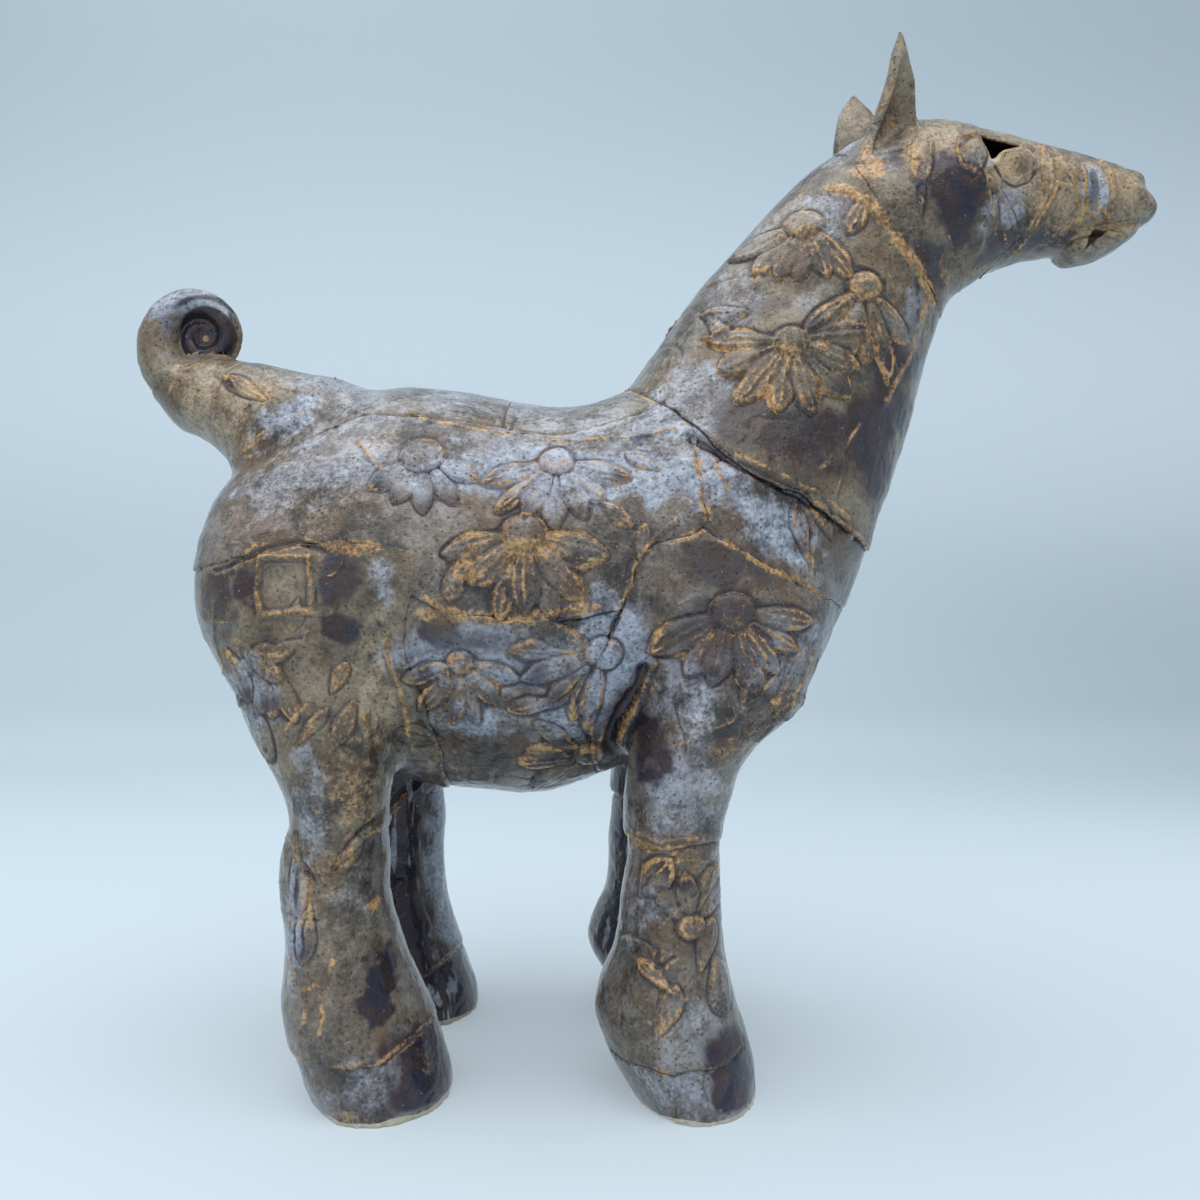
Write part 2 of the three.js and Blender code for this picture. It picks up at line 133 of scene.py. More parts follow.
HEAD = [
    (88, 323, 104, 292, 0.55), (97, 338, 116, 282, 0.92), (108, 343, 127, 281, 1),
    (120, 344, 137, 284, 0.98), (132, 342.5, 146, 288.5, 0.92), (145, 340, 153, 291.5, 0.82),
    (158, 337, 161, 294.5, 0.71), (170, 334, 170, 297.5, 0.62), (181, 331, 179, 300, 0.57),
    (190, 328, 187, 301.5, 0.54), (196, 324, 194, 303, 0.5), (199.5, 319, 199, 305, 0.4),
    (202, 314, 201.5, 309, 0.2),
]
JAW = [
    (152, 302, 156, 294.8, 0.6), (162, 304, 164, 294.2, 0.9), (170.5, 304.5, 171.4, 295.2, 1),
    (174.4, 304.6, 174.7, 291.6, 1.04), (179, 304.6, 180, 291.9, 1.08),
    (185, 305, 185.8, 293.4, 1.08), (191, 306, 191.6, 295.8, 1.04),
    (196, 306.6, 197, 299.4, 0.84), (199.6, 306, 200, 302.4, 0.4),
]
HIND_LEG = [
    (-78, 186, -134, 186, 0.8, 0.78), (-69, 166, -136.5, 166, 0.98, 0.84),
    (-66, 150, -131, 150, 0.98, 0.88), (-67, 135, -123.5, 135, 0.93, 0.93),
    (-69, 120, -117.6, 120, 0.88, 0.95), (-71, 105, -108.2, 105, 0.82, 0.98),
    (-72, 92, -104.4, 92, 0.76, 1), (-72, 80, -107.4, 80, 0.75, 1), (-72, 67, -108, 67, 0.77, 1),
    (-69, 55, -106.3, 55, 0.82, 1), (-64.5, 42, -105.8, 42, 0.9, 1),
    (-58.5, 30, -106.5, 30, 0.98, 1), (-54, 18, -103, 18, 1.02, 1), (-51, 8, -99.5, 8, 1.06, 1),
    (-50.5, 0, -95.5, 0, 1.07, 1),
]
FORE_LEG = [
    (75, 186, 27, 186, 0.75, 0.7), (80, 166, 21, 166, 0.93, 0.77), (76, 150, 17, 150, 0.97, 0.82),
    (71, 137, 14.5, 137, 0.97, 0.87), (66.5, 128, 13, 128, 0.95, 0.9),
    (54, 118, 11, 118, 0.91, 0.94), (47, 109, 9.5, 109, 0.85, 0.96),
    (43.2, 98, 8.5, 98, 0.76, 1), (40.8, 88, 9, 88, 0.71, 1),
    (40, 80, 9, 80, 0.71, 1), (40.5, 68, 7, 68, 0.73, 1), (41, 57, 6, 57, 0.79, 1),
    (42, 48, 4, 48, 0.85, 1), (43.6, 38, -0.5, 38, 0.93, 1), (46.4, 28, -1.8, 28, 0.99, 1),
    (49.6, 19, 1.2, 19, 1.02, 1), (51.6, 10, 5.6, 10, 1.05, 1), (52, 0, 12, 0, 1.07, 1),
]
TAIL_CONE = [
    (-84, 239.7, -112, 194, 0.85), (-95, 248, -133, 212, 1), (-108, 250.4, -142, 221, 0.87),
    (-122, 253.7, -150, 226.8, 0.73), (-134, 256, -157, 230.5, 0.6),
    (-145, 257.5, -162.5, 236.5, 0.48), (-154.5, 256, -165.5, 241.5, 0.4),
]
EAR = [
    (115, 322, 90, 322, 1.05, 0), (113.5, 333, 95, 333, 1, 0.15),
    (112.6, 342, 98.5, 342, 0.88, 0.4), (111.8, 350, 100.8, 350, 0.72, 0.62),
    (109.6, 358, 102.3, 358, 0.5, 0.82), (106.6, 366.5, 105, 366.5, 0.14, 1),
]
FAR_EAR = [
    (114, 322, 92, 322, 1.05, 0), (113, 334, 92, 334, 1, 0.15), (112, 343, 91.5, 343, 0.92, 0.35),
    (111, 351, 92.3, 351, 0.78, 0.55), (108, 359, 94.5, 359, 0.52, 0.78),
    (101.5, 367.3, 99.8, 367.3, 0.14, 1),
]

BENDS = 5  # steps between two points of a seam's table


def rows_at(rows, positions):
    """Rows on the smooth curve through the table's rows."""
    rows = np.asarray(rows, float)
    last = len(rows) - 1
    i = np.minimum(np.floor(positions).astype(int), last - 1)
    f = (np.asarray(positions) - i)[:, None]
    a, b = rows[np.maximum(i - 1, 0)], rows[i]
    c, d = rows[i + 1], rows[np.minimum(i + 2, last)]
    return 0.5 * (
        2 * b + (c - a) * f + (2 * a - 5 * b + 4 * c - d) * f ** 2
        + (3 * b - a - 3 * c + d) * f ** 3
    )


def curved(line):
    """A smooth line through the points of a table."""
    return [tuple(p) for p in rows_at(line, np.arange((len(line) - 1) * BENDS + 1) / BENDS)]


def cut(seam, first, last):
    """A curved seam's stretch between two points of its table, in either direction."""
    a, b = first * BENDS, last * BENDS
    return seam[a:b + 1] if a < b else seam[b:a + 1][::-1]


# Seams, as lines in the side view.
NECK_ROOT_SEAM = curved([
    (-10, 262), (8, 244), (31, 225), (46, 211), (67, 200), (86, 189), (130, 172),
])
COLLAR_SEAM = curved([(33, 190), (53, 178), (83, 164), (130, 148)])
SHOULDER_SEAM = curved([(31, 225), (33, 205), (33, 190), (14, 182), (10, 170), (8, 163.5)])
GIRTH_SEAM = curved([(8, 163.5), (0, 147), (-5, 133), (-4, 120), (3, 84.5)])
FLANK_SEAM = curved([(-61, 168), (-52, 164), (-26, 158.5), (0, 162.5), (8, 163.5)])
HAUNCH_TOP_SEAM = curved([(-170, 173), (-122, 179), (-91, 184), (-58, 181)])
HAUNCH_FRONT_SEAM = curved([(-58, 181), (-61, 168), (-64, 150), (-57, 128), (-53, 84.5)])
TAIL_ROOT_SEAM = curved([(-84, 262), (-95, 249), (-115, 227), (-152, 208)])
HEAD_SEAM = curved([(74, 352), (88, 328), (94, 310), (106, 287), (121, 274), (140, 262)])
CHEEK_SEAM = curved([(172, 352), (160, 328), (157, 313), (153, 302), (146, 291), (136, 272)])
HIND_KNEE = curved([
    (-190, 86), (-108, 88), (-99, 86), (-94, 80), (-90, 76.5), (-86, 79), (-79, 86), (-72, 90),
    (-30, 92),
])
FORE_KNEE = curved([(-30, 86), (9, 87), (22, 85), (34, 87), (140, 86)])
HIND_HOOF = curved([(-190, 20), (-104, 19.5), (-84, 18.5), (-70, 20), (-62, 24), (-30, 29)])
FORE_HOOF = curved([(-30, 19), (2, 18), (22, 16.5), (36, 18.5), (140, 24)])
STRIP_REAR, STRIP_FRONT = cut(TAIL_ROOT_SEAM, 2, 0), cut(NECK_ROOT_SEAM, 1, 2)
STRIP = (
    [(-136, 216)] + STRIP_REAR + [(8, 262)] + STRIP_FRONT + [(31, 195), (-100, 195), (-100, 216)]
)
EYE_HOLE = [(134, 331.4), (151, 327), (143.4, 324.4), (138, 322)]
MOUTH = [(177.4, 295), (179.6, 300), (182.6, 302), (187, 300.4), (182.6, 297.6)]

NECK_OUTLINE = NECK_ROOT_SEAM + HEAD_SEAM[::-1]
COLLAR_OUTLINE = cut(SHOULDER_SEAM, 0, 2) + COLLAR_SEAM + cut(NECK_ROOT_SEAM, 6, 2)
SHOULDER_OUTLINE = (
    COLLAR_SEAM[::-1] + cut(SHOULDER_SEAM, 2, 5) + [p for p in GIRTH_SEAM if p[1] > 87]
    + cut(FORE_KNEE, 1, 4)
)
BELLY_OUTLINE = FLANK_SEAM + GIRTH_SEAM + cut(HAUNCH_FRONT_SEAM, 4, 1)
FLANK_OUTLINE = (
    HAUNCH_TOP_SEAM + cut(HAUNCH_FRONT_SEAM, 0, 1) + FLANK_SEAM + SHOULDER_SEAM[::-1]
    + cut(NECK_ROOT_SEAM, 2, 0) + TAIL_ROOT_SEAM
)
HAUNCH_OUTLINE = (
    HAUNCH_TOP_SEAM + [p for p in HAUNCH_FRONT_SEAM if p[1] > 92]
    + [p for p in HIND_KNEE[::-1] if p[0] < -54.5]
)
HEAD_OUTLINE = HEAD_SEAM + CHEEK_SEAM[::-1]
MUZZLE_OUTLINE = CHEEK_SEAM + [(222, 272), (222, 352)]
TAIL_OUTLINE = TAIL_ROOT_SEAM + [(-190, 208), (-190, 300), (-84, 300)]
HIND_CUFF_OUTLINE = HIND_KNEE + HIND_HOOF[::-1]
FORE_CUFF_OUTLINE = FORE_KNEE + FORE_HOOF[::-1]
HIND_HOOF_OUTLINE = HIND_HOOF + [(-30, -20), (-190, -20)]
FORE_HOOF_OUTLINE = FORE_HOOF + [(140, -20), (-30, -20)]


# Numbers: blends, ramps and seeded noise.

def ramp(low, high, value):
    t = np.clip((value - low) / (high - low), 0, 1)
    return t * t * (3 - 2 * t)


def soft_min(a, b, k):
    h = np.maximum(k - np.abs(a - b), 0) / k
    return np.minimum(a, b) - h * h * (k / 4)


def soft_max(a, b, k):
    return -soft_min(-a, -b, k)


def hashed(ix, iy, iz, seed):
    n = ix * np.uint32(374761393) + iy * np.uint32(668265263) + iz * np.uint32(2246822519)
    n = n + np.uint32((seed * 69069 + 12345) & 0xFFFFFFFF)
    n = (n ^ (n >> np.uint32(13))) * np.uint32(1274126177)
    n = (n ^ (n >> np.uint32(15))) * np.uint32(2654435761)
    return (n >> np.uint32(8)).astype(np.float32) * np.float32(2 / 16777215) - 1


def noise(x, y, z, size, seed):
    """Smooth noise from -1 to 1 whose lumps are about size across."""
    cells, shares = [], []
    for v in (x, y, z):
        v = np.atleast_1d(np.asarray(v, np.float32)) / np.float32(size) + np.float32(4096)
        i = np.floor(v)
        f = v - i
        cells.append(i.astype(np.uint32))
        shares.append(f * f * (3 - 2 * f))
    total = 0
    for corner in range(8):
        steps = (corner & 1, corner >> 1 & 1, corner >> 2)
        weight = 1
        for step, f in zip(steps, shares):
            weight = weight * (f if step else 1 - f)
        total = total + weight * hashed(*(c + np.uint32(s) for c, s in zip(cells, steps)), seed)
    return total


def cloud(x, y, z, size, seed, octaves=3):
    """Noise with finer lumps on the coarse ones, from about -1 to 1."""
    total, share = 0, 1.0
    for k in range(octaves):
        total = total + share * noise(x, y, z, size / 2 ** k, seed + 17 * k)
        share *= 0.55
    return total / 1.5


def sampled(field, at):
    """Values of a field between its cells, at places counted in cells."""
    i = np.clip(np.floor(at).astype(int), 0, np.array(field.shape) - 2)
    f = np.clip(at - i, 0, 1)
    total = 0
    for corner in range(2 ** field.ndim):
        step = corner >> np.arange(field.ndim) & 1
        weight = np.prod(np.where(step, f, 1 - f), axis=1)
        total = total + weight * field[tuple((i + step).T)]
    return total


# Lines and outlines in the side view.

def line_distance(x, z, line, closed=False):
    ends = zip(line, line[1:] + line[:1]) if closed else zip(line, line[1:])
    best = np.full(np.shape(x), 1e6, np.float32)
    for (ax, az), (bx, bz) in ends:
        dx, dz = bx - ax, bz - az
        if not (dx or dz):
            continue
        t = np.clip(((x - ax) * dx + (z - az) * dz) / (dx * dx + dz * dz), 0, 1)
        best = np.minimum(best, (x - ax - t * dx) ** 2 + (z - az - t * dz) ** 2)
    return np.sqrt(best)


def outline_distance(x, z, outline):
    """Distance from a closed outline, less than nothing inside it."""
    inside = np.zeros(np.shape(x), bool)
    for (ax, az), (bx, bz) in zip(outline, outline[1:] + outline[:1]):
        if az != bz:
            inside ^= ((z >= az) != (z >= bz)) & (x < ax + (z - az) * (bx - ax) / (bz - az))
    return np.where(inside, -1, 1) * line_distance(x, z, outline, closed=True)


def wander(x, z):
    """Bends the side view a little, so that no seam runs as if ruled."""
    return (
        x + 1.2 * noise(x, 0, z, 19, 5) + 0.7 * noise(x, 0, z, 6, 6),
        z + 1.2 * noise(x, 0, z, 17, 7) + 0.7 * noise(x, 0, z, 5, 8),
    )


# Lofts.

def stations(table, half_width, spread=0.0, root=0.0):
    return [
        (*row[:4], row[4] * half_width, root + (row[5] * spread if len(row) > 5 else 0))
        for row in table
    ]


def loft(rows, rings, sides):
    """Points, quads and end triangles of a closed tube through elliptical sections."""
    xa, za, xb, zb, w, y = rows_at(rows, np.linspace(0, len(rows) - 1, rings)).T[:, :, None]
    angle = np.linspace(0, 2 * np.pi, sides, endpoint=False)[None]
    c = np.cos(angle) / 2
    points = np.stack([
        (xa + xb) / 2 + c * (xa - xb), y + w * np.sin(angle), (za + zb) / 2 + c * (za - zb),
    ], 2).reshape(-1, 3)
    ends = [((r[0] + r[2]) / 2, r[5], (r[1] + r[3]) / 2) for r in (rows[0], rows[-1])]
    r, s = np.meshgrid(np.arange(rings - 1), np.arange(sides), indexing="ij")
    t = (s + 1) % sides
    quads = np.stack([r * sides + s, r * sides + t, (r + 1) * sides + t, (r + 1) * sides + s], 2)
    s = np.arange(sides)
    t = (s + 1) % sides
    start, last = rings * sides, (rings - 1) * sides
    tris = np.concatenate([
        np.stack([np.full(sides, start), t, s], 1),
        np.stack([np.full(sides, start + 1), last + s, last + t], 1),
    ])
    points = np.concatenate([points, ends])
    return points.astype(np.float32), quads.reshape(-1, 4).astype(np.uint32), tris.astype(np.uint32)


def ellipsoid(domain, centre, radii, slope):
    x, y, z = domain.axes()
    x, y, z = x - centre[0], y - centre[1], z - centre[2]
    c, s = math.cos(slope), math.sin(slope)
    u, v = x * c - z * s, x * s + z * c
    r = np.sqrt((u / radii[0]) ** 2 + (y / radii[1]) ** 2 + (v / radii[2]) ** 2)
    return ((r - 1) * min(radii)).astype(np.float32)


class Domain:
    """A box of cells in which fields are sampled."""

    def __init__(self, low, high, size):
        self.size = size
        self.first = np.floor(np.array(low) / size).astype(int)
        self.shape = np.ceil(np.array(high) / size).astype(int) - self.first + 1

    def axes(self):
        x, y, z = (
            (np.arange(n) + i).astype(np.float32) * self.size
            for n, i in zip(self.shape, self.first)
        )
        return x[:, None, None], y[None, :, None], z[None, None, :]

    def solid(self, rows, rings, sides):
        points, quads, tris = loft(rows, rings, sides)
        grid = vdb.FloatGrid.createLevelSetFromPolygons(
            points, triangles=tris, quads=quads, transform=vdb.createLinearTransform(self.size),
            halfWidth=BAND / self.size,
        )
        field = np.empty(tuple(self.shape), np.float32)
        grid.copyToArray(field, ijk=tuple(int(i) for i in self.first))
        return field

    def part(self, low, high):
        """A smaller box of the same cells, and the slices that cut it out."""
        a = np.maximum(np.floor(np.array(low) / self.size).astype(int), self.first)
        b = np.minimum(np.ceil(np.array(high) / self.size).astype(int), self.first + self.shape - 1)
        small = Domain(low, high, self.size)
        small.first, small.shape = a, b - a + 1
        return small, tuple(slice(i, j) for i, j in zip(a - self.first, b - self.first + 1))

    def surface(self, field):
        grid = vdb.FloatGrid(BAND)
        grid.transform = vdb.createLinearTransform(self.size)
        grid.copyFromArray(np.ascontiguousarray(field), ijk=tuple(int(i) for i in self.first))
        points, quads = grid.convertToQuads(isovalue=0.0)
        return points.astype(np.float64), quads.astype(np.int64)

    def sample(self, field, points):
        return sampled(field, points / self.size - self.first)


# Meshes.

def gathered(rows, values, count):
    """Adds the value of each row to every index that the row holds."""
    each = np.repeat(values, rows.shape[1], axis=0)
    return np.stack([np.bincount(rows.ravel(), v, count) for v in each.T], 1)


def refined(points, quads, wanted):
    """Smoothly splits the wanted quads in four. Their neighbours take the new points on edges."""
    count = len(points)
    a, b = quads, np.roll(quads, -1, axis=1)
    keys = np.minimum(a, b) * count + np.maximum(a, b)
    edges, at = np.unique(keys.ravel(), return_inverse=True)
    at = at.reshape(-1, 4)
    uses = np.bincount(at[wanted].ravel(), minlength=len(edges))
    split = uses > 0
    number = np.cumsum(split) - 1 + count
    ends = np.stack([edges // count, edges % count], 1)
    centres = points[quads].mean(1)
    middles = points[ends].mean(1)
    around = gathered(at[wanted], centres[wanted], len(edges))
    both = uses == 2
    smooth = middles.copy()
    smooth[both] = (middles[both] + around[both] / 2) / 2
    faces_at = np.bincount(quads.ravel(), minlength=count)
    wanted_at = np.bincount(quads[wanted].ravel(), minlength=count)
    inner = (faces_at == wanted_at) & (faces_at > 2)
    f_mean = gathered(quads, centres, count) / np.maximum(faces_at, 1)[:, None]
    edge_count = np.bincount(ends.ravel(), minlength=count)
    r_mean = gathered(ends, middles, count) / np.maximum(edge_count, 1)[:, None]
    n = faces_at[:, None]
    smoothed = (f_mean + 2 * r_mean + (n - 3) * points) / np.maximum(n, 1)
    moved = np.where(inner[:, None], smoothed, points)
    first_centre = count + split.sum()
    new_points = np.concatenate([moved, smooth[split], centres[wanted]])
    q, e = quads[wanted], number[at[wanted]]
    c = first_centre + np.arange(len(q))
    small = np.concatenate([
        np.stack([q[:, k], e[:, k], c, e[:, k - 1]], 1) for k in range(4)
    ])
    rest, rest_edges = quads[~wanted], at[~wanted]
    slots = np.empty((len(rest), 8), np.int64)
    slots[:, 0::2] = rest
    slots[:, 1::2] = number[rest_edges]
    present = np.ones_like(slots, bool)
    present[:, 1::2] = split[rest_edges]
    loops = np.concatenate([small.ravel(), slots[present]])
    sizes = np.concatenate([np.full(len(small), 4), present.sum(1)])
    return new_points, loops, sizes, small


def normals_of(points, quads):
    across = points[quads[:, 2]] - points[quads[:, 0]]
    along = points[quads[:, 3]] - points[quads[:, 1]]
    total = gathered(quads, np.cross(across, along), len(points))
    return total / np.maximum(np.linalg.norm(total, axis=1), 1e-9)[:, None]


def make_object(name, points, loops, sizes, layers, material):
    mesh = bpy.data.meshes.new(name)
    world = points.astype(np.float32)
    world[:, 0] += SHIFT
    mesh.vertices.add(len(world))
    mesh.vertices.foreach_set("co", (world * MM).ravel())
    mesh.loops.add(len(loops))
    mesh.loops.foreach_set("vertex_index", loops.astype(np.int32))
    mesh.polygons.add(len(sizes))
    starts = np.concatenate([[0], np.cumsum(sizes)[:-1]]).astype(np.int32)
    mesh.polygons.foreach_set("loop_start", starts)
    mesh.update(calc_edges=True)
    mesh.polygons.foreach_set("use_smooth", np.ones(len(sizes), bool))
    for layer, values in layers.items():
        made = mesh.attributes.new(layer, "FLOAT", "POINT")
        made.data.foreach_set("value", np.clip(values, 0, LAYER_TOP).astype(np.float32))
    mesh.materials.append(material)
    made = bpy.data.objects.new(name, mesh)
    bpy.context.scene.collection.objects.link(made)
    return made


# The relief of each side, its glaze and its painted sheen and shade, drawn on a sheet in the side
# view.

LAYERS = ("gold", "slate", "dark", "clay", "warm")
SHEET_LOW = (-184.0, -6.0)
SHEET_HIGH = (216.0, 376.0)
STEP = 0.35
RELIEF = 1.35  # how strongly all is pressed
FLOWER_GROWTH = (1.1, 1.16, 1.18)  # on the radius, length and width that the tables give
SQUASH = 0.85  # a flower's height as a share of its width
RAGGED = 0.55  # how far a pool's edge strays
FAR_SEED = 100


def blurred(values, reach):
    """Values averaged with those around them, twice in each direction."""
    for axis in (0, 1, 0, 1):
        margin = [(reach + 1, reach) if a == axis else (0, 0) for a in (0, 1)]
        total = np.cumsum(np.pad(values, margin, mode="edge"), axis=axis, dtype=np.float64)
        last, first = (slice(2 * reach + 1, None), slice(None, -2 * reach - 1))
        pick = (last, first) if axis == 0 else ((slice(None), last), (slice(None), first))
        values = ((total[pick[0]] - total[pick[1]]) / (2 * reach + 1)).astype(np.float32)
    return values


class Sheet:
    """The height of one side's relief and its layers of glaze, painted sheen and painted shade, on
    a grid in the side view.
    """

    def __init__(self):
        self.x, self.z = (
            np.arange(low, high, STEP, dtype=np.float32) for low, high in zip(SHEET_LOW, SHEET_HIGH)
        )
        self.layers = {
            name: np.zeros((len(self.x), len(self.z)), np.float32) for name in ("height", *LAYERS)
        }

    def window(self, low_x, high_x, low_z, high_z):
        """The slices of a part of the grid, and the x and z of its points."""
        i = np.clip(np.searchsorted(self.x, (low_x, high_x)), 0, len(self.x))
        k = np.clip(np.searchsorted(self.z, (low_z, high_z)), 0, len(self.z))
        x, z = np.meshgrid(self.x[slice(*i)], self.z[slice(*k)], indexing="ij")
        return (slice(*i), slice(*k)), x, z

    def around(self, x0, z0, reach):
        return self.window(x0 - reach, x0 + reach, z0 - reach, z0 + reach)

    def raise_to(self, spot, name, values):
        self.layers[name][spot] = np.maximum(self.layers[name][spot], values)

    def petal(self, x0, z0, turn, length, width, rise, gold):
        """A pressed petal or leaf from its root, with ribs, a groove round it and a gold rim."""
        rise = rise * RELIEF
        spot, x, z = self.around(x0, z0, length * 1.2)
        if not x.size:
            return
        u = (x - x0) * math.cos(turn) + (z - z0) * math.sin(turn)
        v = (z - z0) * math.cos(turn) - (x - x0) * math.sin(turn)
        v = v + 0.05 * width * noise(x, 0, z, 5, 11)
        t = np.clip(u / length, 0.001, 0.999)
        half = width / 2 * np.sin(np.pi * t ** 1.15) ** 0.75 * (0.7 + 0.5 * t) + 0.15
        beyond = np.maximum(np.maximum(-u, u - length), 0)
        edge = np.abs(v) - half + beyond
        s = np.clip(v / half, -1, 1)
        body = rise * np.sqrt(1 - 0.9 * s * s) * (0.55 + 0.45 * t)
        body = body + 0.16 * rise * np.cos(3 * np.pi * s) * (1 - s * s)
        inside = ramp(0.35, -0.35, edge)
        height = self.layers["height"][spot]
        groove = -0.5 * rise * np.exp(-(np.maximum(edge, 0) / 0.9) ** 2)
        outside = np.minimum(height, height + groove * ramp(-0.2, 0.4, edge))
        self.layers["height"][spot] = outside + (np.maximum(height * 0.4, body) - outside) * inside
        rim = np.exp(-((edge - 0.3) / 0.8) ** 2) * gold * (0.6 + 0.9 * noise(x, 0, z, 7, 12))
        ribs = 0.25 * gold * inside * ramp(0.3, 1, np.cos(3 * np.pi * s)) * t
        self.raise_to(spot, "gold", np.maximum(rim, ribs))
        tip = ramp(0.1, -0.9, edge) * ramp(0.35, 0.9, t) * (0.45 + 0.5 * noise(x, 0, z, 9, 16))
        self.raise_to(spot, "dark", tip)

    def dome(self, x0, z0, radius, rise, gold):
        """The middle of a flower."""
        rise = rise * RELIEF
        spot, x, z = self.around(x0, z0, radius * 1.6)
        if not x.size:
            return
        r = np.hypot(x - x0, (z - z0) / SQUASH) + 0.25 * noise(x, 0, z, 3, 14)
        inside = ramp(0.4, -0.4, r - radius)
        body = rise * np.sqrt(np.clip(1 - (r / radius) ** 2 * 0.9, 0, 1))
        body = body + 0.1 * noise(x, 0, z, 1.3, 15)
        height = self.layers["height"][spot]
        groove = -0.6 * np.exp(-((r - radius) / 0.9) ** 2) * (1 - inside)
        self.layers["height"][spot] = height + groove + (body - height) * inside
        self.raise_to(spot, "gold", np.exp(-((r - radius - 0.2) / 0.8) ** 2) * gold)

    def flower(self, x0, z0, radius, length, width, low, high, count, rise, gold, seed):
        """A coneflower: a dome with a fan of hanging petals from low to high degrees."""
        radius, length, width = np.multiply((radius, length, width), FLOWER_GROWTH)
        spin = np.random.default_rng(seed)
        order = [k for k in range(count) if k % 2] + [k for k in range(count) if not k % 2]
        for k in order:
            turn = math.radians(low + (high - low) * k / max(count - 1, 1) + spin.uniform(-5, 5))
            long = length * spin.uniform(0.85, 1.12)
            start = 0.45 * radius
            self.petal(
                x0 + start * math.cos(turn), z0 + start * math.sin(turn) * SQUASH, turn,
                long, width * spin.uniform(0.8, 1.15), rise * spin.uniform(0.85, 1.1), gold,
            )
        self.dome(x0, z0, radius, rise * 1.5, gold * 0.7)

    def stroke(self, line, width, rise, gold, dark):
        """A ridge, or a groove where rise is below nothing, along a line. The dark that a groove
        takes is painted shade in its crease.
        """
        xs, zs = zip(*line)
        pad = width * 2.5 + 3
        spot, x, z = self.window(min(xs) - pad, max(xs) + pad, min(zs) - pad, max(zs) + pad)
        if not x.size:
            return
        bent = (x + 0.5 * noise(x, 0, z, 6, 21), z + 0.5 * noise(x, 0, z, 6, 22))
        d = line_distance(*bent, line)
        shape = np.exp(-(d / (width / 2)) ** 2)
        self.layers["height"][spot] += RELIEF * rise * shape
        grain = 0.75 + 0.45 * noise(x, 0, z, 4, 23)
        for name, amount in (("gold", gold), ("dark", dark)):
            self.raise_to(spot, name, amount * np.exp(-(d / (width * 0.55)) ** 2) * grain)

    def patch(self, x0, z0, rx, rz, turn, layer, amount):
        """A pool with a ragged edge: of glaze, and along the flank's top of painted sheen as well.
        """
        spot, x, z = self.around(x0, z0, max(rx, rz) * 1.7)
        if not x.size:
            return
        c, s = math.cos(turn), math.sin(turn)
        u = ((x - x0) * c + (z - z0) * s) / rx
        v = ((z - z0) * c - (x - x0) * s) / rz
        r = np.hypot(u, v) + RAGGED * cloud(x, 0, z, max(4.0, min(rx, rz) * 0.7), 31, 4)
        self.raise_to(spot, layer, amount * ramp(1.35, 0.45, r))

    def settle(self):
        """Glaze runs off the edges of the relief, which turn gold. The grooves and hollows darken,
        as pooled glaze and as painted shade.
        """
        x, z = np.meshgrid(self.x, self.z, indexing="ij")
        height = self.layers["height"]
        frame_free = ramp(11, 16, np.hypot(x - FRAME_CENTRE[0], z - FRAME_CENTRE[1]))
        for seed, size, rise in ((80, 30, 0.4), (83, 24, -0.4), (86, 15, 0.25), (89, 13, -0.25)):
            line = np.exp(-(cloud(x, 0, z, size, seed, 2) * size / 0.9) ** 2)
            height += rise * line * ramp(0.0, 0.5, noise(x, 0, z, 34, seed + 1)) * frame_free
        edge = height - blurred(height, 3)
        low = blurred(height, 9) - height
        worn = ramp(-0.45, 0.45, noise(x, 0, z, 8, 13))
        self.raise_to(..., "gold", ramp(0.05, 0.22, edge) * (0.25 + 0.5 * worn))
        self.raise_to(..., "dark", ramp(0.05, 0.26, -edge) * (0.7 - 0.3 * worn))
        # Painted shade in the wider hollows of the relief.
        self.raise_to(..., "dark", ramp(0.1, 0.5, low) * 0.6)

    def sample(self, name, points):
        return sampled(self.layers[name], (points[:, (0, 2)] - SHEET_LOW) / STEP)


def pixel_size(y):
    return (REACH + y) / PHOTO_SIDE


def seen(px, py, y):
    """A pixel of the photograph as x and z on the surface at distance y."""
    k, middle = pixel_size(y), PHOTO_SIDE // 2
    return ((px - middle) * k, EYE_LEVEL - (py - middle) * k)


near = Sheet()
far = Sheet()

# Flowers: pixel, distance y, radius of the dome, length and width of a petal, the fan's first and
# last degree, petals, rise, gold.
NEAR_FLOWERS = [
    (524, 533, -62, 6.4, 21, 7.5, -168, -12, 9, 1.3, 1.0),
    (556, 458, -58, 5.2, 19, 6.5, -160, -20, 7, 0.8, 0.5),
    (420, 452, -58, 6.6, 15, 6.0, -140, -30, 5, 0.6, 0.3),
    (866, 286, -38, 5.4, 22, 6.5, -140, -50, 6, 1.3, 0.7),
    (792, 341, -44, 5.6, 21, 7.5, -190, 10, 8, 1.3, 0.75),
    (806, 220, -34, 6.0, 18, 6.5, -160, -50, 6, 1.0, 0.6),
    (733, 612, -60, 6.6, 21, 8.0, -150, -10, 7, 1.4, 0.6),
    (462, 662, -56, 4.0, 16, 5.5, -160, -20, 6, 0.9, 0.5),
    (604, 652, -54, 5.4, 22, 6.0, -200, -100, 6, 1.0, 0.4),
    (590, 754, -36, 4.6, 18, 5.0, -210, -150, 4, 0.9, 0.5),
    (268, 655, -60, 4.4, 18, 6.5, -150, -60, 5, 0.7, 0.4),
    (818, 700, -30, 4.0, 16, 5.0, -190, -100, 5, 0.8, 0.4),
    (692, 930, -66, 4.2, 15, 6.0, 40, 130, 4, 0.9, 0.3),
]
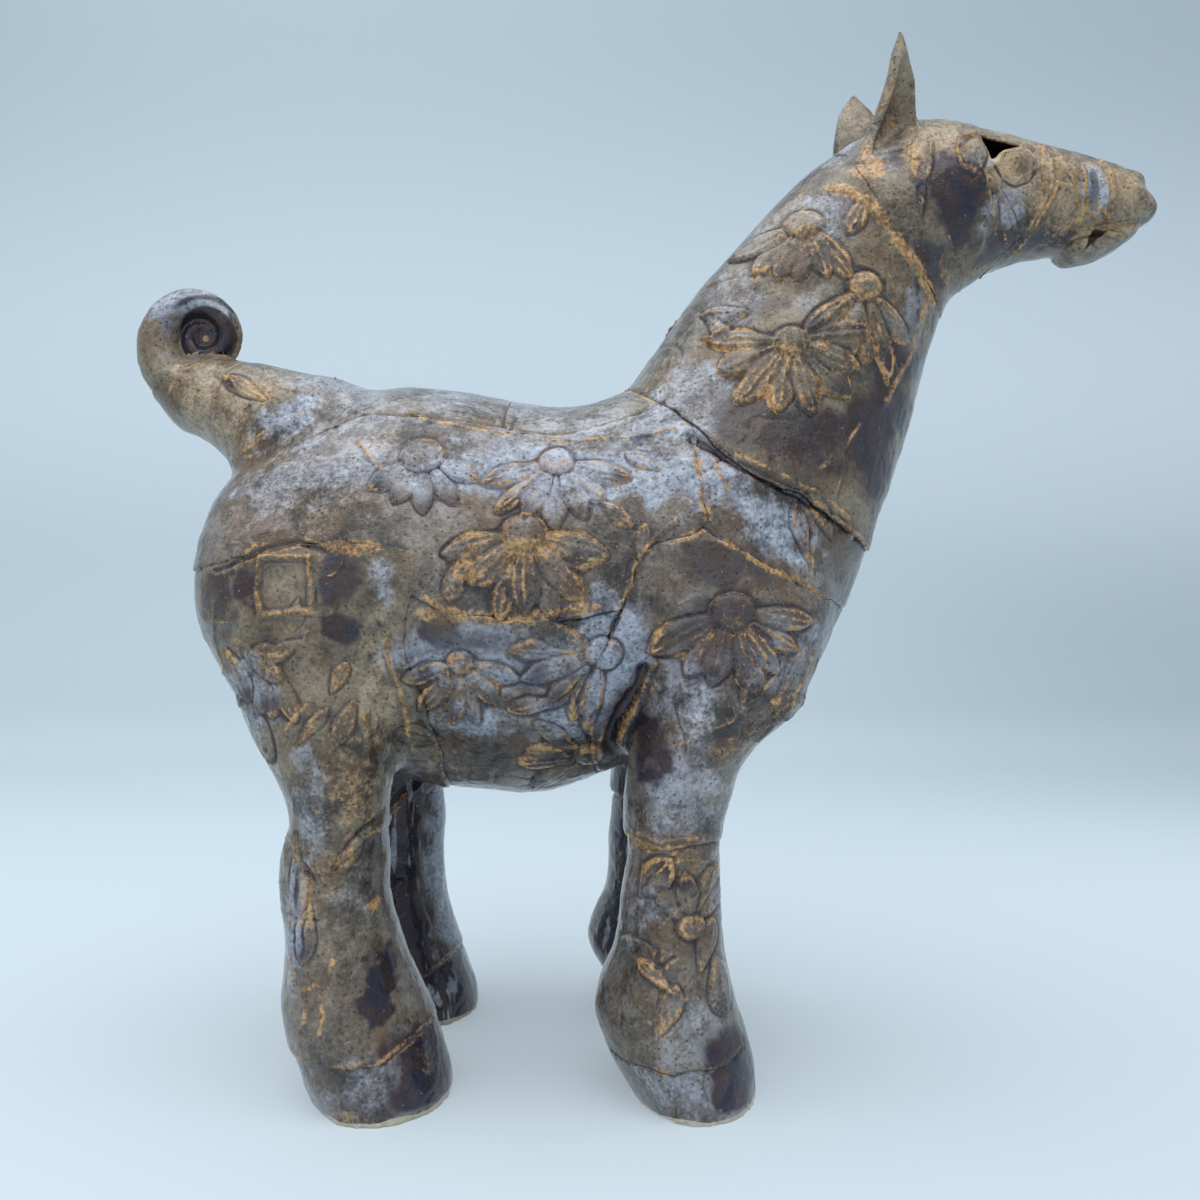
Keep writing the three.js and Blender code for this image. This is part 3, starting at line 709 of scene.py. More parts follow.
# Single leaves: pixel of the root, distance, degrees, length, width, rise, gold.
NEAR_LEAVES = [
    (330, 694, -66, 65, 11, 4.5, 0.9, 0.4), (300, 742, -62, 48, 15, 4.0, 0.7, 0.4),
    (752, 306, -44, 176, 16, 6.0, 1.0, 0.5), (712, 300, -48, -62, 14, 6.0, 0.8, 0.4),
    (836, 542, -44, 118, 20, 6.0, 1.0, 0.5), (806, 560, -46, 105, 19, 5.5, 1.0, 0.4),
    (640, 560, -60, 82, 12, 5.0, 0.7, 0.5), (460, 560, -60, -100, 14, 6.5, 0.8, 0.4),
    (660, 470, -54, 150, 13, 5.0, 0.7, 0.4), (600, 500, -60, -40, 14, 5.0, 0.7, 0.3),
    (640, 906, -70, 52, 17, 10.0, 1.1, 0.35), (672, 990, -66, 140, 14, 5.0, 0.9, 0.4),
    (700, 975, -66, 75, 17, 6.0, 0.9, 0.3), (440, 740, -44, 168, 14, 6.5, 0.8, 0.4),
    (340, 880, -70, 78, 14, 6.0, 0.6, 0.3), (300, 600, -62, -100, 10, 5.0, 0.4, 0.3),
    (868, 196, -30, -118, 17, 7.0, 0.9, 0.3), (222, 648, -60, -62, 20, 7.0, 0.9, 0.3),
    (240, 648, -62, -36, 18, 6.5, 0.9, 0.4), (248, 700, -62, -74, 22, 7.5, 0.9, 0.2),
    (302, 640, -64, -150, 14, 5.5, 0.7, 0.3), (352, 700, -66, -110, 16, 6.0, 0.6, 0.3),
    (306, 905, -68, -96, 20, 7.0, 0.6, 0.15), (660, 1035, -70, 70, 16, 7.0, 0.8, 0.2),
    (716, 960, -66, -80, 20, 8.0, 0.8, 0.2), (444, 700, -58, 80, 12, 6.0, 0.8, 0.2),
    (560, 700, -56, -170, 18, 6.0, 0.9, 0.3), (896, 392, -34, 100, 15, 5.5, 0.7, 0.4),
    (1000, 200, -28, -58, 17, 5.5, 0.7, 0.2), (268, 400, -24, 152, 20, 6.0, 0.7, 0.4),
]
# Ridges and grooves: distance, width, rise, gold, dark, pixels. The dark of a groove is painted
# shade in its crease.
NEAR_STROKES = [
    (-48, 1.5, 0.7, 0.9, 0, [(711, 463), (716, 476), (724, 492)]),
    (-60, 1.4, 0.8, 0.8, 0, [
        (616, 610), (630, 587), (634, 566), (641, 552), (656, 536), (676, 522),
    ]),
    (-60, 1.3, -0.8, 0, 0.5, [(618, 616), (609, 642), (598, 660), (586, 679), (578, 702)]),
    (-58, 1.2, -0.7, 0, 0.4, [(578, 702), (580, 723), (588, 742)]),
    (-60, 6.0, -3.4, 0, 1.5, [(647, 676), (638, 692), (626, 714), (616, 738), (610, 760)]),
    (-62, 2.0, 1.2, 0.9, 0, [(657, 664), (648, 682), (638, 703), (627, 733), (620, 757)]),
    (-46, 3.6, -1.3, 0, 0.7, [(690, 440), (729, 464), (761, 477), (798, 497), (830, 514)]),
    (-40, 1.4, 0.5, 0.8, 0, [
        (776, 480), (798, 491), (819, 500), (833, 507), (847, 520), (853, 534),
    ]),
    (-38, 4.4, 0.6, 1.3, 0, [
        (836, 178), (858, 186), (872, 196), (884, 216), (900, 236), (917, 255),
    ]),
    (-36, 4.2, 0.6, 1.3, 0, [(917, 255), (931, 272), (943, 290)]),
    (-52, 2.0, 0.5, 1.0, 0, [
        (722, 542), (742, 556), (770, 571), (798, 582), (819, 595), (845, 604),
    ]),
    (-20, 1.6, 0.5, 0.95, 0, [(190, 358), (178, 366), (168, 376), (160, 392)]),
    (-62, 2.4, 0.4, 0.75, 0, [
        (425, 598), (450, 612), (475, 618), (513, 622), (551, 617), (586, 606),
    ]),
    (-64, 2.2, -0.8, 0, 0.7, [
        (205, 570), (223, 565), (240, 556), (262, 549), (298, 540), (323, 552),
    ]),
    (-30, 1.2, 0.6, 0.6, 0, [(1062, 150), (1060, 176), (1050, 200), (1036, 226)]),
    (-26, 1.0, 0.6, 0.5, 0, [(1032, 146), (1040, 170), (1046, 196)]),
    (-28, 1.3, 0.4, 0.55, 0, [
        (1034, 158), (1022, 150), (1004, 152), (997, 164), (1004, 176), (1020, 178), (1034, 168),
    ]),
    (-28, 1.8, 0.9, 0.9, 0, [(972, 136), (960, 140), (955, 154), (960, 168), (974, 174)]),
    (-62, 1.6, 0.8, 0.8, 0, [(362, 715), (365, 735), (364, 767)]),
    (-62, 1.8, 0.6, 0.9, 0, [
        (383, 620), (387, 642), (390, 664), (396, 694), (401, 721), (402, 760),
    ]),
    (-60, 1.2, 0.7, 0.4, 0, [(236, 640), (258, 652), (286, 656), (306, 642), (312, 632)]),
    (-60, 1.2, 0.6, 0.5, 0, [(282, 742), (296, 722), (314, 700)]),
    (-66, 1.8, 1.0, 0.75, 0, [(255, 559), (306, 556), (311, 612), (258, 616), (255, 559)]),
    (-44, 1.2, 0.7, 0.6, 0, [(765, 262), (748, 300), (730, 322), (702, 340)]),
    (-40, 2.4, 0.6, 0.95, 0, [(937, 291), (932, 316), (922, 340), (906, 372), (891, 399)]),
    (-50, 1.2, 0.6, 0.4, 0, [(866, 420), (846, 448), (820, 470)]),
    (-28, 1.6, 0.8, 0.5, 0, [(931, 142), (927, 166), (921, 188), (914, 226)]),
    (-30, 1.4, 0.8, 0.5, 0, [(981, 168), (1000, 190), (1020, 212), (1034, 236)]),
    (-30, 1.0, 0.5, 0.4, 0, [(990, 168), (1012, 186), (1040, 206)]),
    (-28, 1.0, 0.5, 0.2, 0, [(984, 176), (990, 204), (1000, 228)]),
    (-28, 1.2, 0.6, 0.3, 0, [(946, 236), (960, 254), (976, 268), (992, 276)]),
    (-36, 1.2, 0.6, 0.6, 0, [(852, 536), (846, 520), (838, 512)]),
    (-50, 1.2, 0.6, 0.5, 0, [(742, 680), (738, 700), (740, 728)]),
    (-50, 1.2, 0.6, 0.6, 0, [(740, 728), (766, 720), (792, 716)]),
    (-50, 1.0, 0.6, 0.2, 0, [(820, 690), (806, 720), (784, 742), (758, 762)]),
    (-46, 1.0, 0.6, 0.2, 0, [(808, 690), (794, 716), (770, 738)]),
    (-44, 1.0, 0.7, 0.3, 0, [(822, 650), (812, 680), (798, 706), (776, 732)]),
    (-44, 1.0, 0.7, 0.3, 0, [(812, 650), (798, 680), (778, 708), (752, 736)]),
    (-48, 1.0, 0.7, 0.3, 0, [(798, 652), (784, 680), (764, 706), (740, 728)]),
    (-50, 1.0, 0.6, 0.3, 0, [(784, 650), (770, 676), (750, 698), (726, 716)]),
    (-54, 1.4, 0.5, 0.9, 0, [
        (400, 402), (430, 414), (469, 424), (506, 429), (538, 435), (595, 437), (630, 434),
        (676, 427),
    ]),
    (-54, 1.2, -0.5, 0, 0.5, [(511, 405), (509, 417), (506, 429)]),
    (-28, 1.6, -0.4, 0, 0.4, [(994, 168), (1002, 181), (1018, 185), (1034, 178), (1040, 168)]),
    (-28, 1.4, -0.5, 0, 0.7, [(984, 140), (988, 156), (982, 172), (972, 180)]),
    (-60, 1.0, -0.5, 0, 0.3, [(672, 700), (682, 730), (684, 752)]),
    (-64, 1.1, 0.6, 0.6, 0, [(676, 748), (700, 736), (728, 722)]),
    (-68, 1.2, 0.7, 0.7, 0, [(634, 840), (664, 845), (698, 842)]),
    (-70, 1.0, 0.5, 0.2, 0, [(612, 960), (640, 948), (662, 930), (700, 900)]),
    (-70, 1.1, -0.7, 0, 0.4, [
        (616, 957), (628, 946), (646, 948), (660, 954), (658, 972), (676, 962),
    ]),
    (-70, 1.0, 0.6, 0.3, 0, [(640, 975), (668, 990), (690, 1004)]),
    (-70, 1.0, 0.5, 0.1, 0, [(600, 1100), (622, 1118), (650, 1128)]),
    (-68, 1.2, 0.7, 0.2, 0, [(291, 850), (285, 900), (287, 950), (292, 990)]),
    (-68, 1.0, 0.6, 0.1, 0, [(300, 862), (294, 910), (297, 958)]),
    (-68, 1.0, -0.5, 0, 0.3, [(304, 872), (302, 920), (300, 965)]),
    (-70, 1.6, 0.4, 0.9, 0, [(303, 994), (318, 986), (326, 975), (332, 964)]),
    (-70, 1.6, 0.4, 0.9, 0, [(300, 996), (304, 1016), (297, 1038)]),
    (-70, 1.4, 0.4, 0.9, 0, [(318, 998), (324, 1016), (320, 1034)]),
    (-66, 1.2, 0.5, 0.6, 0, [(206, 600), (202, 640), (210, 676)]),
    (-20, 1.2, 0.7, 0.7, 0, [(214, 372), (232, 380), (240, 392)]),
    (-22, 1.0, 0.5, 0.5, 0, [(236, 362), (262, 374), (282, 388), (300, 392)]),
    (-40, 1.2, 0.5, 0.4, 0, [(330, 396), (352, 408), (376, 418)]),
    (-52, 1.2, 0.6, 0.7, 0, [(356, 440), (368, 456), (384, 470)]),
    (-22, 4.4, 0.9, 0.1, 0, [(306, 418), (284, 432), (256, 448), (234, 460)]),
]
# Pools of glaze, by layer: pixel, distance, radii in pixels, degrees, amount. The long slate pools
# along the flank's top also paint the sheen of the light above.
NEAR_PATCHES = {
    "slate": [
        (560, 470, -58, 175, 36, -2, 0.85), (330, 470, -58, 100, 34, 12, 0.5),
        (620, 470, -58, 66, 36, 0, 1.0), (290, 416, -30, 44, 24, 34, 0.9),
        (382, 578, -66, 16, 30, 0, 0.6), (520, 655, -58, 120, 36, 0, 0.55),
        (610, 660, -58, 46, 56, 20, 0.9), (470, 722, -52, 34, 22, 0, 0.75),
        (560, 716, -52, 60, 26, 0, 0.6), (690, 700, -62, 36, 54, 10, 0.5),
        (250, 690, -60, 34, 44, 20, 0.6), (790, 650, -54, 60, 40, 20, 0.45),
        (770, 520, -56, 66, 26, -28, 0.8), (700, 470, -58, 40, 30, 0, 0.8),
        (832, 205, -34, 34, 30, -30, 0.6), (740, 300, -46, 34, 44, -20, 0.55),
        (690, 400, -52, 60, 42, 30, 0.6), (912, 330, -34, 24, 66, -14, 0.5),
        (836, 300, -44, 40, 30, 0, 0.3), (962, 170, -28, 26, 20, 20, 0.5),
        (884, 160, -24, 24, 20, 0, 0.5), (1094, 190, -18, 14, 26, 10, 0.95),
        (200, 300, -10, 60, 22, 10, 1.0), (672, 786, -66, 46, 36, 0, 0.5),
        (690, 820, -66, 46, 20, 0, 0.35), (640, 920, -68, 30, 40, 0, 0.5),
        (700, 1030, -70, 66, 34, 0, 0.34), (680, 1100, -70, 76, 36, 0, 0.3),
        (380, 1080, -70, 60, 40, 20, 0.35), (420, 1080, -70, 34, 40, 20, 0.4),
        (310, 800, -62, 20, 60, 0, 0.6), (392, 800, -62, 16, 56, 0, 0.5),
        (290, 930, -66, 12, 60, 0, 0.9), (370, 900, -68, 50, 40, 0, 0.3),
        (1008, 206, -28, 34, 26, 20, 0.6), (850, 690, -20, 14, 44, 0, 0.6),
        (720, 890, -64, 16, 50, 0, 0.4),
    ],
    "dark": [
        (1044, 240, -20, 34, 14, 10, 0.3), (243, 589, -64, 22, 19, 0, 0.85),
        (337, 627, -66, 20, 19, 0, 1.0), (337, 585, -66, 26, 34, 0, 0.75),
        (214, 600, -62, 26, 40, 10, 0.6), (800, 440, -50, 100, 46, -14, 0.6),
        (888, 400, -36, 40, 96, -16, 0.8), (720, 640, -60, 60, 50, 0, 0.55),
        (640, 740, -62, 24, 50, 10, 0.7), (596, 730, -52, 20, 30, 0, 0.5),
        (914, 176, -28, 8, 40, 8, 0.9), (1046, 238, -22, 46, 13, 18, 0.95),
        (1000, 244, -26, 40, 14, 40, 0.7), (930, 262, -30, 24, 40, 30, 0.7),
        (898, 150, -26, 16, 30, 0, 0.55), (720, 562, -60, 60, 26, -20, 0.5),
        (360, 600, -66, 12, 40, 0, 0.4), (445, 636, -58, 42, 12, -10, 0.6),
        (520, 640, -58, 60, 12, 0, 0.4), (600, 566, -60, 16, 14, 0, 0.4),
        (372, 997, -72, 18, 38, 0, 1.0), (438, 1062, -60, 14, 40, -6, 1.1),
        (425, 690, -54, 10, 44, -10, 0.6), (955, 200, -28, 32, 54, 16, 1.1),
        (940, 250, -30, 30, 20, 0, 0.4), (690, 640, -60, 50, 24, 10, 0.35),
        (604, 760, -36, 28, 14, 10, 0.5), (650, 760, -64, 10, 50, 0, 0.5),
        (770, 300, -44, 30, 12, 10, 0.4), (316, 448, -50, 22, 9, -6, 0.5),
        (314, 757, -62, 14, 14, 0, 0.35), (180, 316, -10, 40, 14, 30, 0.3),
    ],
    "warm": [
        (330, 452, -50, 90, 16, 8, 0.7), (220, 410, -20, 70, 44, -30, 0.6),
        (1050, 180, -24, 120, 60, -16, 1.0), (1110, 200, -14, 60, 50, 0, 0.8),
        (960, 140, -26, 80, 30, -8, 1.1), (1070, 250, -16, 70, 22, 16, 0.5),
        (760, 400, -50, 70, 60, 0, 0.3), (372, 680, -62, 22, 90, 0, 0.6),
        (320, 500, -60, 80, 34, 0, 0.4), (220, 400, -20, 60, 40, -20, 0.4),
        (500, 560, -60, 90, 40, 0, 0.35), (330, 900, -66, 30, 90, 0, 0.35),
        (640, 900, -66, 30, 40, 0, 0.3),
    ],
    "gold": [
        (1120, 184, -12, 20, 16, 0, 0.4), (1076, 216, -18, 30, 14, 30, 0.45),
        (988, 262, -26, 40, 8, 20, 0.5), (356, 548, -64, 34, 10, 2, 0.7),
        (474, 615, -60, 80, 9, -4, 0.6), (560, 612, -60, 52, 8, 8, 0.6),
        (1016, 164, -28, 15, 10, 0, 0.4), (1070, 180, -20, 44, 40, 10, 0.34),
        (1060, 246, -18, 50, 14, 10, 0.36), (334, 866, -68, 22, 11, 20, 0.5),
        (352, 800, -64, 18, 44, -10, 0.42), (365, 916, -70, 10, 10, 0, 0.9),
        (300, 900, -68, 9, 44, 0, 0.45), (430, 1060, -70, 16, 40, -20, 0.36),
        (868, 172, -26, 24, 16, 0, 0.62), (912, 158, -28, 14, 26, 0, 0.55),
        (960, 262, -30, 34, 20, -20, 0.34), (262, 390, -20, 34, 9, -24, 0.55),
        (340, 770, -62, 26, 50, 0, 0.3), (1126, 200, -14, 22, 30, 0, 0.28),
        (700, 790, -66, 20, 30, 30, 0.3), (742, 742, -54, 50, 14, 24, 0.42),
        (700, 865, -68, 44, 30, 20, 0.3), (660, 1010, -70, 18, 30, 10, 0.32),
        (470, 590, -60, 60, 30, 0, 0.2), (890, 330, -36, 14, 60, -14, 0.24),
        (352, 1115, -70, 30, 8, 0, 0.4), (660, 450, -56, 50, 8, 0, 0.24),
    ],
}
# The same on the far side, in its own arrangement. Places and radii in millimetres.
FAR_FLOWERS = [
    (-46, 204, 6.2, 20, 7.0, -165, -15, 8, 1.2, 0.7),
    (2, 196, 5.0, 18, 6.5, -150, -30, 6, 1.0, 0.6), (48, 268, 5.4, 20, 7.5, -180, 0, 7, 1.2, 0.7),
    (88, 300, 4.4, 16, 6.0, -160, -40, 5, 1.0, 0.5),
    (46, 158, 6.4, 21, 7.5, -140, -20, 6, 1.3, 0.6),
    (-30, 146, 5.0, 18, 6.0, -170, -40, 6, 1.0, 0.5),
    (-100, 150, 5.0, 18, 6.5, -140, -40, 5, 0.9, 0.4),
    (-94, 44, 4.4, 15, 6.0, 40, 130, 4, 0.8, 0.4), (22, 44, 4.4, 15, 6.0, 60, 150, 4, 0.8, 0.4),
]
FAR_LEAVES = [
    (-82, 212, 30, 16, 6, 0.8, 0.5), (-10, 226, -150, 16, 6, 0.8, 0.5),
    (22, 226, 60, 18, 6, 0.9, 0.5), (70, 240, 110, 18, 6, 0.9, 0.4),
    (96, 262, 120, 15, 6, 0.8, 0.4), (70, 176, -60, 16, 6, 0.8, 0.4),
    (-110, 120, 80, 15, 6, 0.7, 0.4), (30, 112, 100, 16, 7, 0.9, 0.5),
    (-92, 104, 80, 18, 7, 0.8, 0.5), (60, 144, -100, 14, 5, 0.8, 0.4),
    (-68, 172, -120, 14, 5, 0.7, 0.4), (-128, 238, 150, 14, 5, 0.7, 0.4),
]
FAR_PATCHES = {
    "slate": [
        (-20, 214, 58, 14, 0, 0.85), (-100, 214, 34, 12, 15, 0.6), (-26, 138, 44, 16, 0, 0.7),
        (40, 146, 24, 18, 20, 0.6), (60, 212, 26, 10, -30, 0.7), (54, 252, 20, 16, 20, 0.6),
        (98, 268, 12, 20, -20, 0.7), (116, 306, 12, 18, 10, 0.6), (20, 96, 18, 14, 0, 0.6),
        (24, 30, 20, 18, 0, 0.6), (-90, 30, 22, 18, 0, 0.6), (-100, 110, 16, 30, 0, 0.5),
    ],
    "dark": [
        (-110, 168, 6, 5, 0, 0.9), (-64, 156, 9, 12, 0, 0.6), (10, 180, 18, 8, 20, 0.5),
        (-50, 150, 16, 5, 0, 0.6), (76, 192, 14, 8, -30, 0.4), (-84, 60, 8, 14, 0, 0.5),
    ],
    "gold": [
        (-76, 180, 14, 4, 4, 0.42), (-30, 161, 40, 3, 2, 0.45), (-90, 84, 12, 7, 0, 0.4),
        (50, 124, 16, 6, 24, 0.4), (24, 84, 14, 10, 0, 0.32), (-100, 128, 10, 20, 0, 0.3),
    ],
}
# What both sides have: folds at the knees, the nostril, the mouth and the muzzle's wrinkles.
SHARED_STROKES = [
    (-18, 1.2, 0.6, 0.4, 0, [(1042, 147), (1052, 164), (1066, 185), (1080, 206)]),
    (-18, 1.0, 0.5, 0.3, 0, [(1057, 147), (1066, 166), (1073, 185)]),
    (-18, 1.2, 0.6, 0.5, 0, [(1075, 163), (1083, 180), (1087, 196), (1085, 218)]),
    (-18, 4.2, -0.7, 0, 0.1, [(1094, 176), (1097, 190), (1095, 204)]),
    (-16, 1.5, 1.0, 0.9, 0, [(1104, 160), (1110, 176), (1113, 194), (1111, 214), (1101, 208)]),
    (-18, 1.4, 0.8, 0.3, 0, [(1084, 170), (1083, 190), (1088, 208), (1098, 212)]),
    (-20, 1.5, 0.8, 0.9, 0, [
        (1054, 185), (1048, 204), (1038, 222), (1026, 240), (1014, 255), (995, 270),
    ]),
    (-20, 1.2, 0.5, 0.8, 0, [(1030, 173), (1054, 185), (1071, 187)]),
    (-14, 1.3, 0.8, 0.9, 0, [(1090, 232), (1108, 231), (1127, 233)]),
    (-14, 1.2, -0.6, 0, 0.6, [(1074, 240), (1084, 236), (1094, 234)]),
    (-68, 1.4, -0.9, 0.1, 0.5, [(384, 806), (369, 827), (350, 841), (338, 856), (330, 871)]),
    (-68, 1.2, 0.7, 0.6, 0, [(388, 814), (374, 832), (356, 846), (342, 860)]),
    (-68, 1.4, -0.9, 0.1, 0.5, [(287, 838), (292, 852), (300, 868), (310, 882)]),
]


def draw():
    for k, (px, py, y, *form) in enumerate(NEAR_FLOWERS):
        near.flower(*seen(px, py, y), *form, seed=k)
    for px, py, y, degrees, *form in NEAR_LEAVES:
        near.petal(*seen(px, py, y), math.radians(degrees), *form)
    for k, (x, z, *form) in enumerate(FAR_FLOWERS):
        far.flower(x, z, *form, seed=FAR_SEED + k)
    for x, z, degrees, *form in FAR_LEAVES:
        far.petal(x, z, math.radians(degrees), *form)
    for layer, pools in NEAR_PATCHES.items():
        for px, py, y, rx, rz, degrees, amount in pools:
            k = pixel_size(y)
            near.patch(*seen(px, py, y), rx * k, rz * k, math.radians(degrees), layer, amount)
    for layer, pools in FAR_PATCHES.items():
        for x, z, rx, rz, degrees, amount in pools:
            far.patch(x, z, rx, rz, math.radians(degrees), layer, amount)
    for strokes, sheets in ((NEAR_STROKES, (near,)), (SHARED_STROKES, (near, far))):
        for y, width, rise, gold, dark, pixels in strokes:
            for sheet in sheets:
                sheet.stroke([seen(px, py, y) for px, py in pixels], width, rise, gold, dark)
    near.settle()
    far.settle()


draw()


# Bodies, which the pieces are cut from.

def joined(first, *others):
    """One solid of several. Each after the first comes with the size of its fillet."""
    whole = first
    for solid, fillet in others:
        whole = soft_min(whole, solid, fillet)
    return whole


barrel_rows = stations(BARREL, BARREL_HALF_WIDTH)
neck_rows = stations(NECK, NECK_HALF_WIDTH)
head_rows = stations(HEAD, HEAD_HALF_WIDTH)
cone_rows = stations(TAIL_CONE, CONE_HALF_WIDTH)
jaw_rows = stations(JAW, JAW_HALF_WIDTH)


def both_legs(domain, table, front, rear):
    """A pair of legs. The left one is fuller in front or at the rear, mostly at the knee."""
    pair = []
    for side, _ in SIDES:
        rows = []
        for xa, za, xb, zb, w, y in stations(table, LEG_HALF_WIDTH, side * LEG_MIDDLE):
            knee = (side > 0) * math.exp(-((za - KNEE_LEVEL) / KNEE_SPAN) ** 2)
            hoof = (side > 0) * math.exp(-((za - HOOF_LEVEL) / HOOF_SPAN) ** 2)
            rows.append((
                xa + front * (knee - 0.14 * hoof), za, xb - rear * (knee + 0.7 * hoof), zb, w, y,
            ))
        pair.append(domain.solid(rows, 60, 48))
    return np.minimum(*pair)


def curl_rows():
    """The coil at the tail's end, wound in on itself and thinner as it goes."""
    x0, z0 = COIL_CENTRE
    rows = []
    for i in range(COIL_STEPS + 1):
        angle = math.radians(COIL_START + (COIL_END - COIL_START) * i / COIL_STEPS)
        outer = COIL_REACH * math.exp(-COIL_TIGHTENING * (math.pi - angle))
        inner = outer * COIL_CORE
        c, s = math.cos(angle), math.sin(angle)
        rows.append((x0 + outer * c, z0 + outer * s, x0 + inner * c, z0 + inner * s, inner, 0))
    return rows


def web_field(domain):
    """The thin clay between the turns of the coil."""
    x, y, z = domain.axes()
    r = np.sqrt((x - COIL_CENTRE[0]) ** 2 + (z - COIL_CENTRE[1]) ** 2)
    return np.maximum(np.abs(y) - WEB_HALF_WALL, r - WEB_REACH).astype(np.float32)


def head_in(domain):
    """The head on its neck, with the ledge over the nose and the lobe of the upper lip."""
    return joined(
        domain.solid(neck_rows, 60, 72),
        (domain.solid(head_rows, 70, 72), 8),
        (ellipsoid(domain, *NOSE_LEDGE), 2.5),
        (ellipsoid(domain, *UPPER_LIP), 4),
    )


trunk = Domain((-150, -78, -4), (142, 78, 352), COARSE)
skull = Domain((84, -40, 262), (214, 40, 352), FINE)
rear = Domain((-178, -38, 186), (-76, 38, 292), FINE)

trunk_body = joined(
    trunk.solid(barrel_rows, 60, 72),
    (trunk.solid(neck_rows, 50, 64), 14),
    (trunk.solid(head_rows, 50, 48), 8),
    (both_legs(trunk, HIND_LEG, HIND_FULLNESS, 0), 9),
    (both_legs(trunk, FORE_LEG, 0, FORE_FULLNESS), 6),
    (trunk.solid(cone_rows, 40, 48), 10),
)
skull_body = head_in(skull)
curl_field = rear.solid(curl_rows(), 180, 30)
rear_body = joined(
    rear.solid(barrel_rows, 60, 72), (rear.solid(cone_rows, 50, 60), 10), (curl_field, 4),
)

# Slabs. Each kind has a material slot, an outline and its lips: a seam over which the slab stands
# proud, and by how much. A lip fades away from its seam.
LIP_FADE = 9.0
OUTLINES_OF = {
    "saddle_slab": ("bronze_glaze", STRIP, [(STRIP_REAR, 0.5)]),
    "loin_slab": ("bronze_glaze", STRIP, [(STRIP_REAR, 0.5)]),
    "croup_slab": ("bronze_glaze", STRIP, [(STRIP_REAR, 0.3)]),
    "belly_slab": ("slate_glaze", BELLY_OUTLINE, []),
    "flank_slab": ("slate_glaze", FLANK_OUTLINE, [(FLANK_SEAM, 1.3), (HAUNCH_TOP_SEAM, 1.2)]),
    "haunch_slab": (
        "bronze_glaze", HAUNCH_OUTLINE, [(HAUNCH_FRONT_SEAM, 1.5), (HIND_KNEE, 0.6)],
    ),
    "shoulder_slab": (
        "slate_glaze", SHOULDER_OUTLINE, [(GIRTH_SEAM, 0.9), (FORE_KNEE, 1.0)],
    ),
    "collar_slab": ("slate_glaze", COLLAR_OUTLINE, [(COLLAR_SEAM, 0.9)]),
    "neck_slab": ("bronze_glaze", NECK_OUTLINE, [(NECK_ROOT_SEAM, 2.3)]),
    "head_slab": ("bronze_glaze", HEAD_OUTLINE, [(HEAD_SEAM, 1.2)]),
    "muzzle_slab": ("bronze_glaze", MUZZLE_OUTLINE, []),
    "tail_cone": ("bronze_glaze", TAIL_OUTLINE, [(TAIL_ROOT_SEAM, 0.35)]),
    "hind_cuff": ("umber_glaze", HIND_CUFF_OUTLINE, [(HIND_HOOF, 1.2)]),
    "fore_cuff": ("umber_glaze", FORE_CUFF_OUTLINE, [(FORE_HOOF, 1.2)]),
    "hind_hoof": ("hoof_glaze", HIND_HOOF_OUTLINE, []),
    "fore_hoof": ("hoof_glaze", FORE_HOOF_OUTLINE, []),
}
STRIP_LIMITS = {
    "saddle_slab": (LOIN_X, 60), "loin_slab": (CROUP_X, LOIN_X), "croup_slab": (-200, CROUP_X),
}
# How much further than the others a kind of slab reaches over its seams.
CLOSED = {"tail_cone": 1.0, "croup_slab": 0.8, "haunch_slab": 0.5, "hind_cuff": 0.5}
# How much painted shade and how much gold a slab's rim has.
USUAL_RIM = (0.15, 0.4)
RIMS = {
    "tail_cone": (-0.6, -0.3), "croup_slab": (-0.4, 0.0), "neck_slab": (0.1, 0.6),
    "muzzle_slab": (-0.4, 0.4), "haunch_slab": (-0.1, 0.3), "hind_cuff": (-0.1, 0.4),
    "belly_slab": (0.15, 0.2), "collar_slab": (0.15, 0.0), "flank_slab": (0.15, 0.15),
}


def side_view(domain):
    """The x and z of a box's cells in the side view, as its seams run."""
    x, _, z = domain.axes()
    return wander(*np.broadcast_arrays(x[:, 0], z[0]))


def hole_in(domain, outline, half_wall):
    """An opening as a field to cut with. It stops at half a wall from the middle plane."""
    _, y, _ = domain.axes()
    area = outline_distance(*side_view(domain), outline)[:, None, :]
    return -np.maximum(area, half_wall - np.abs(y))


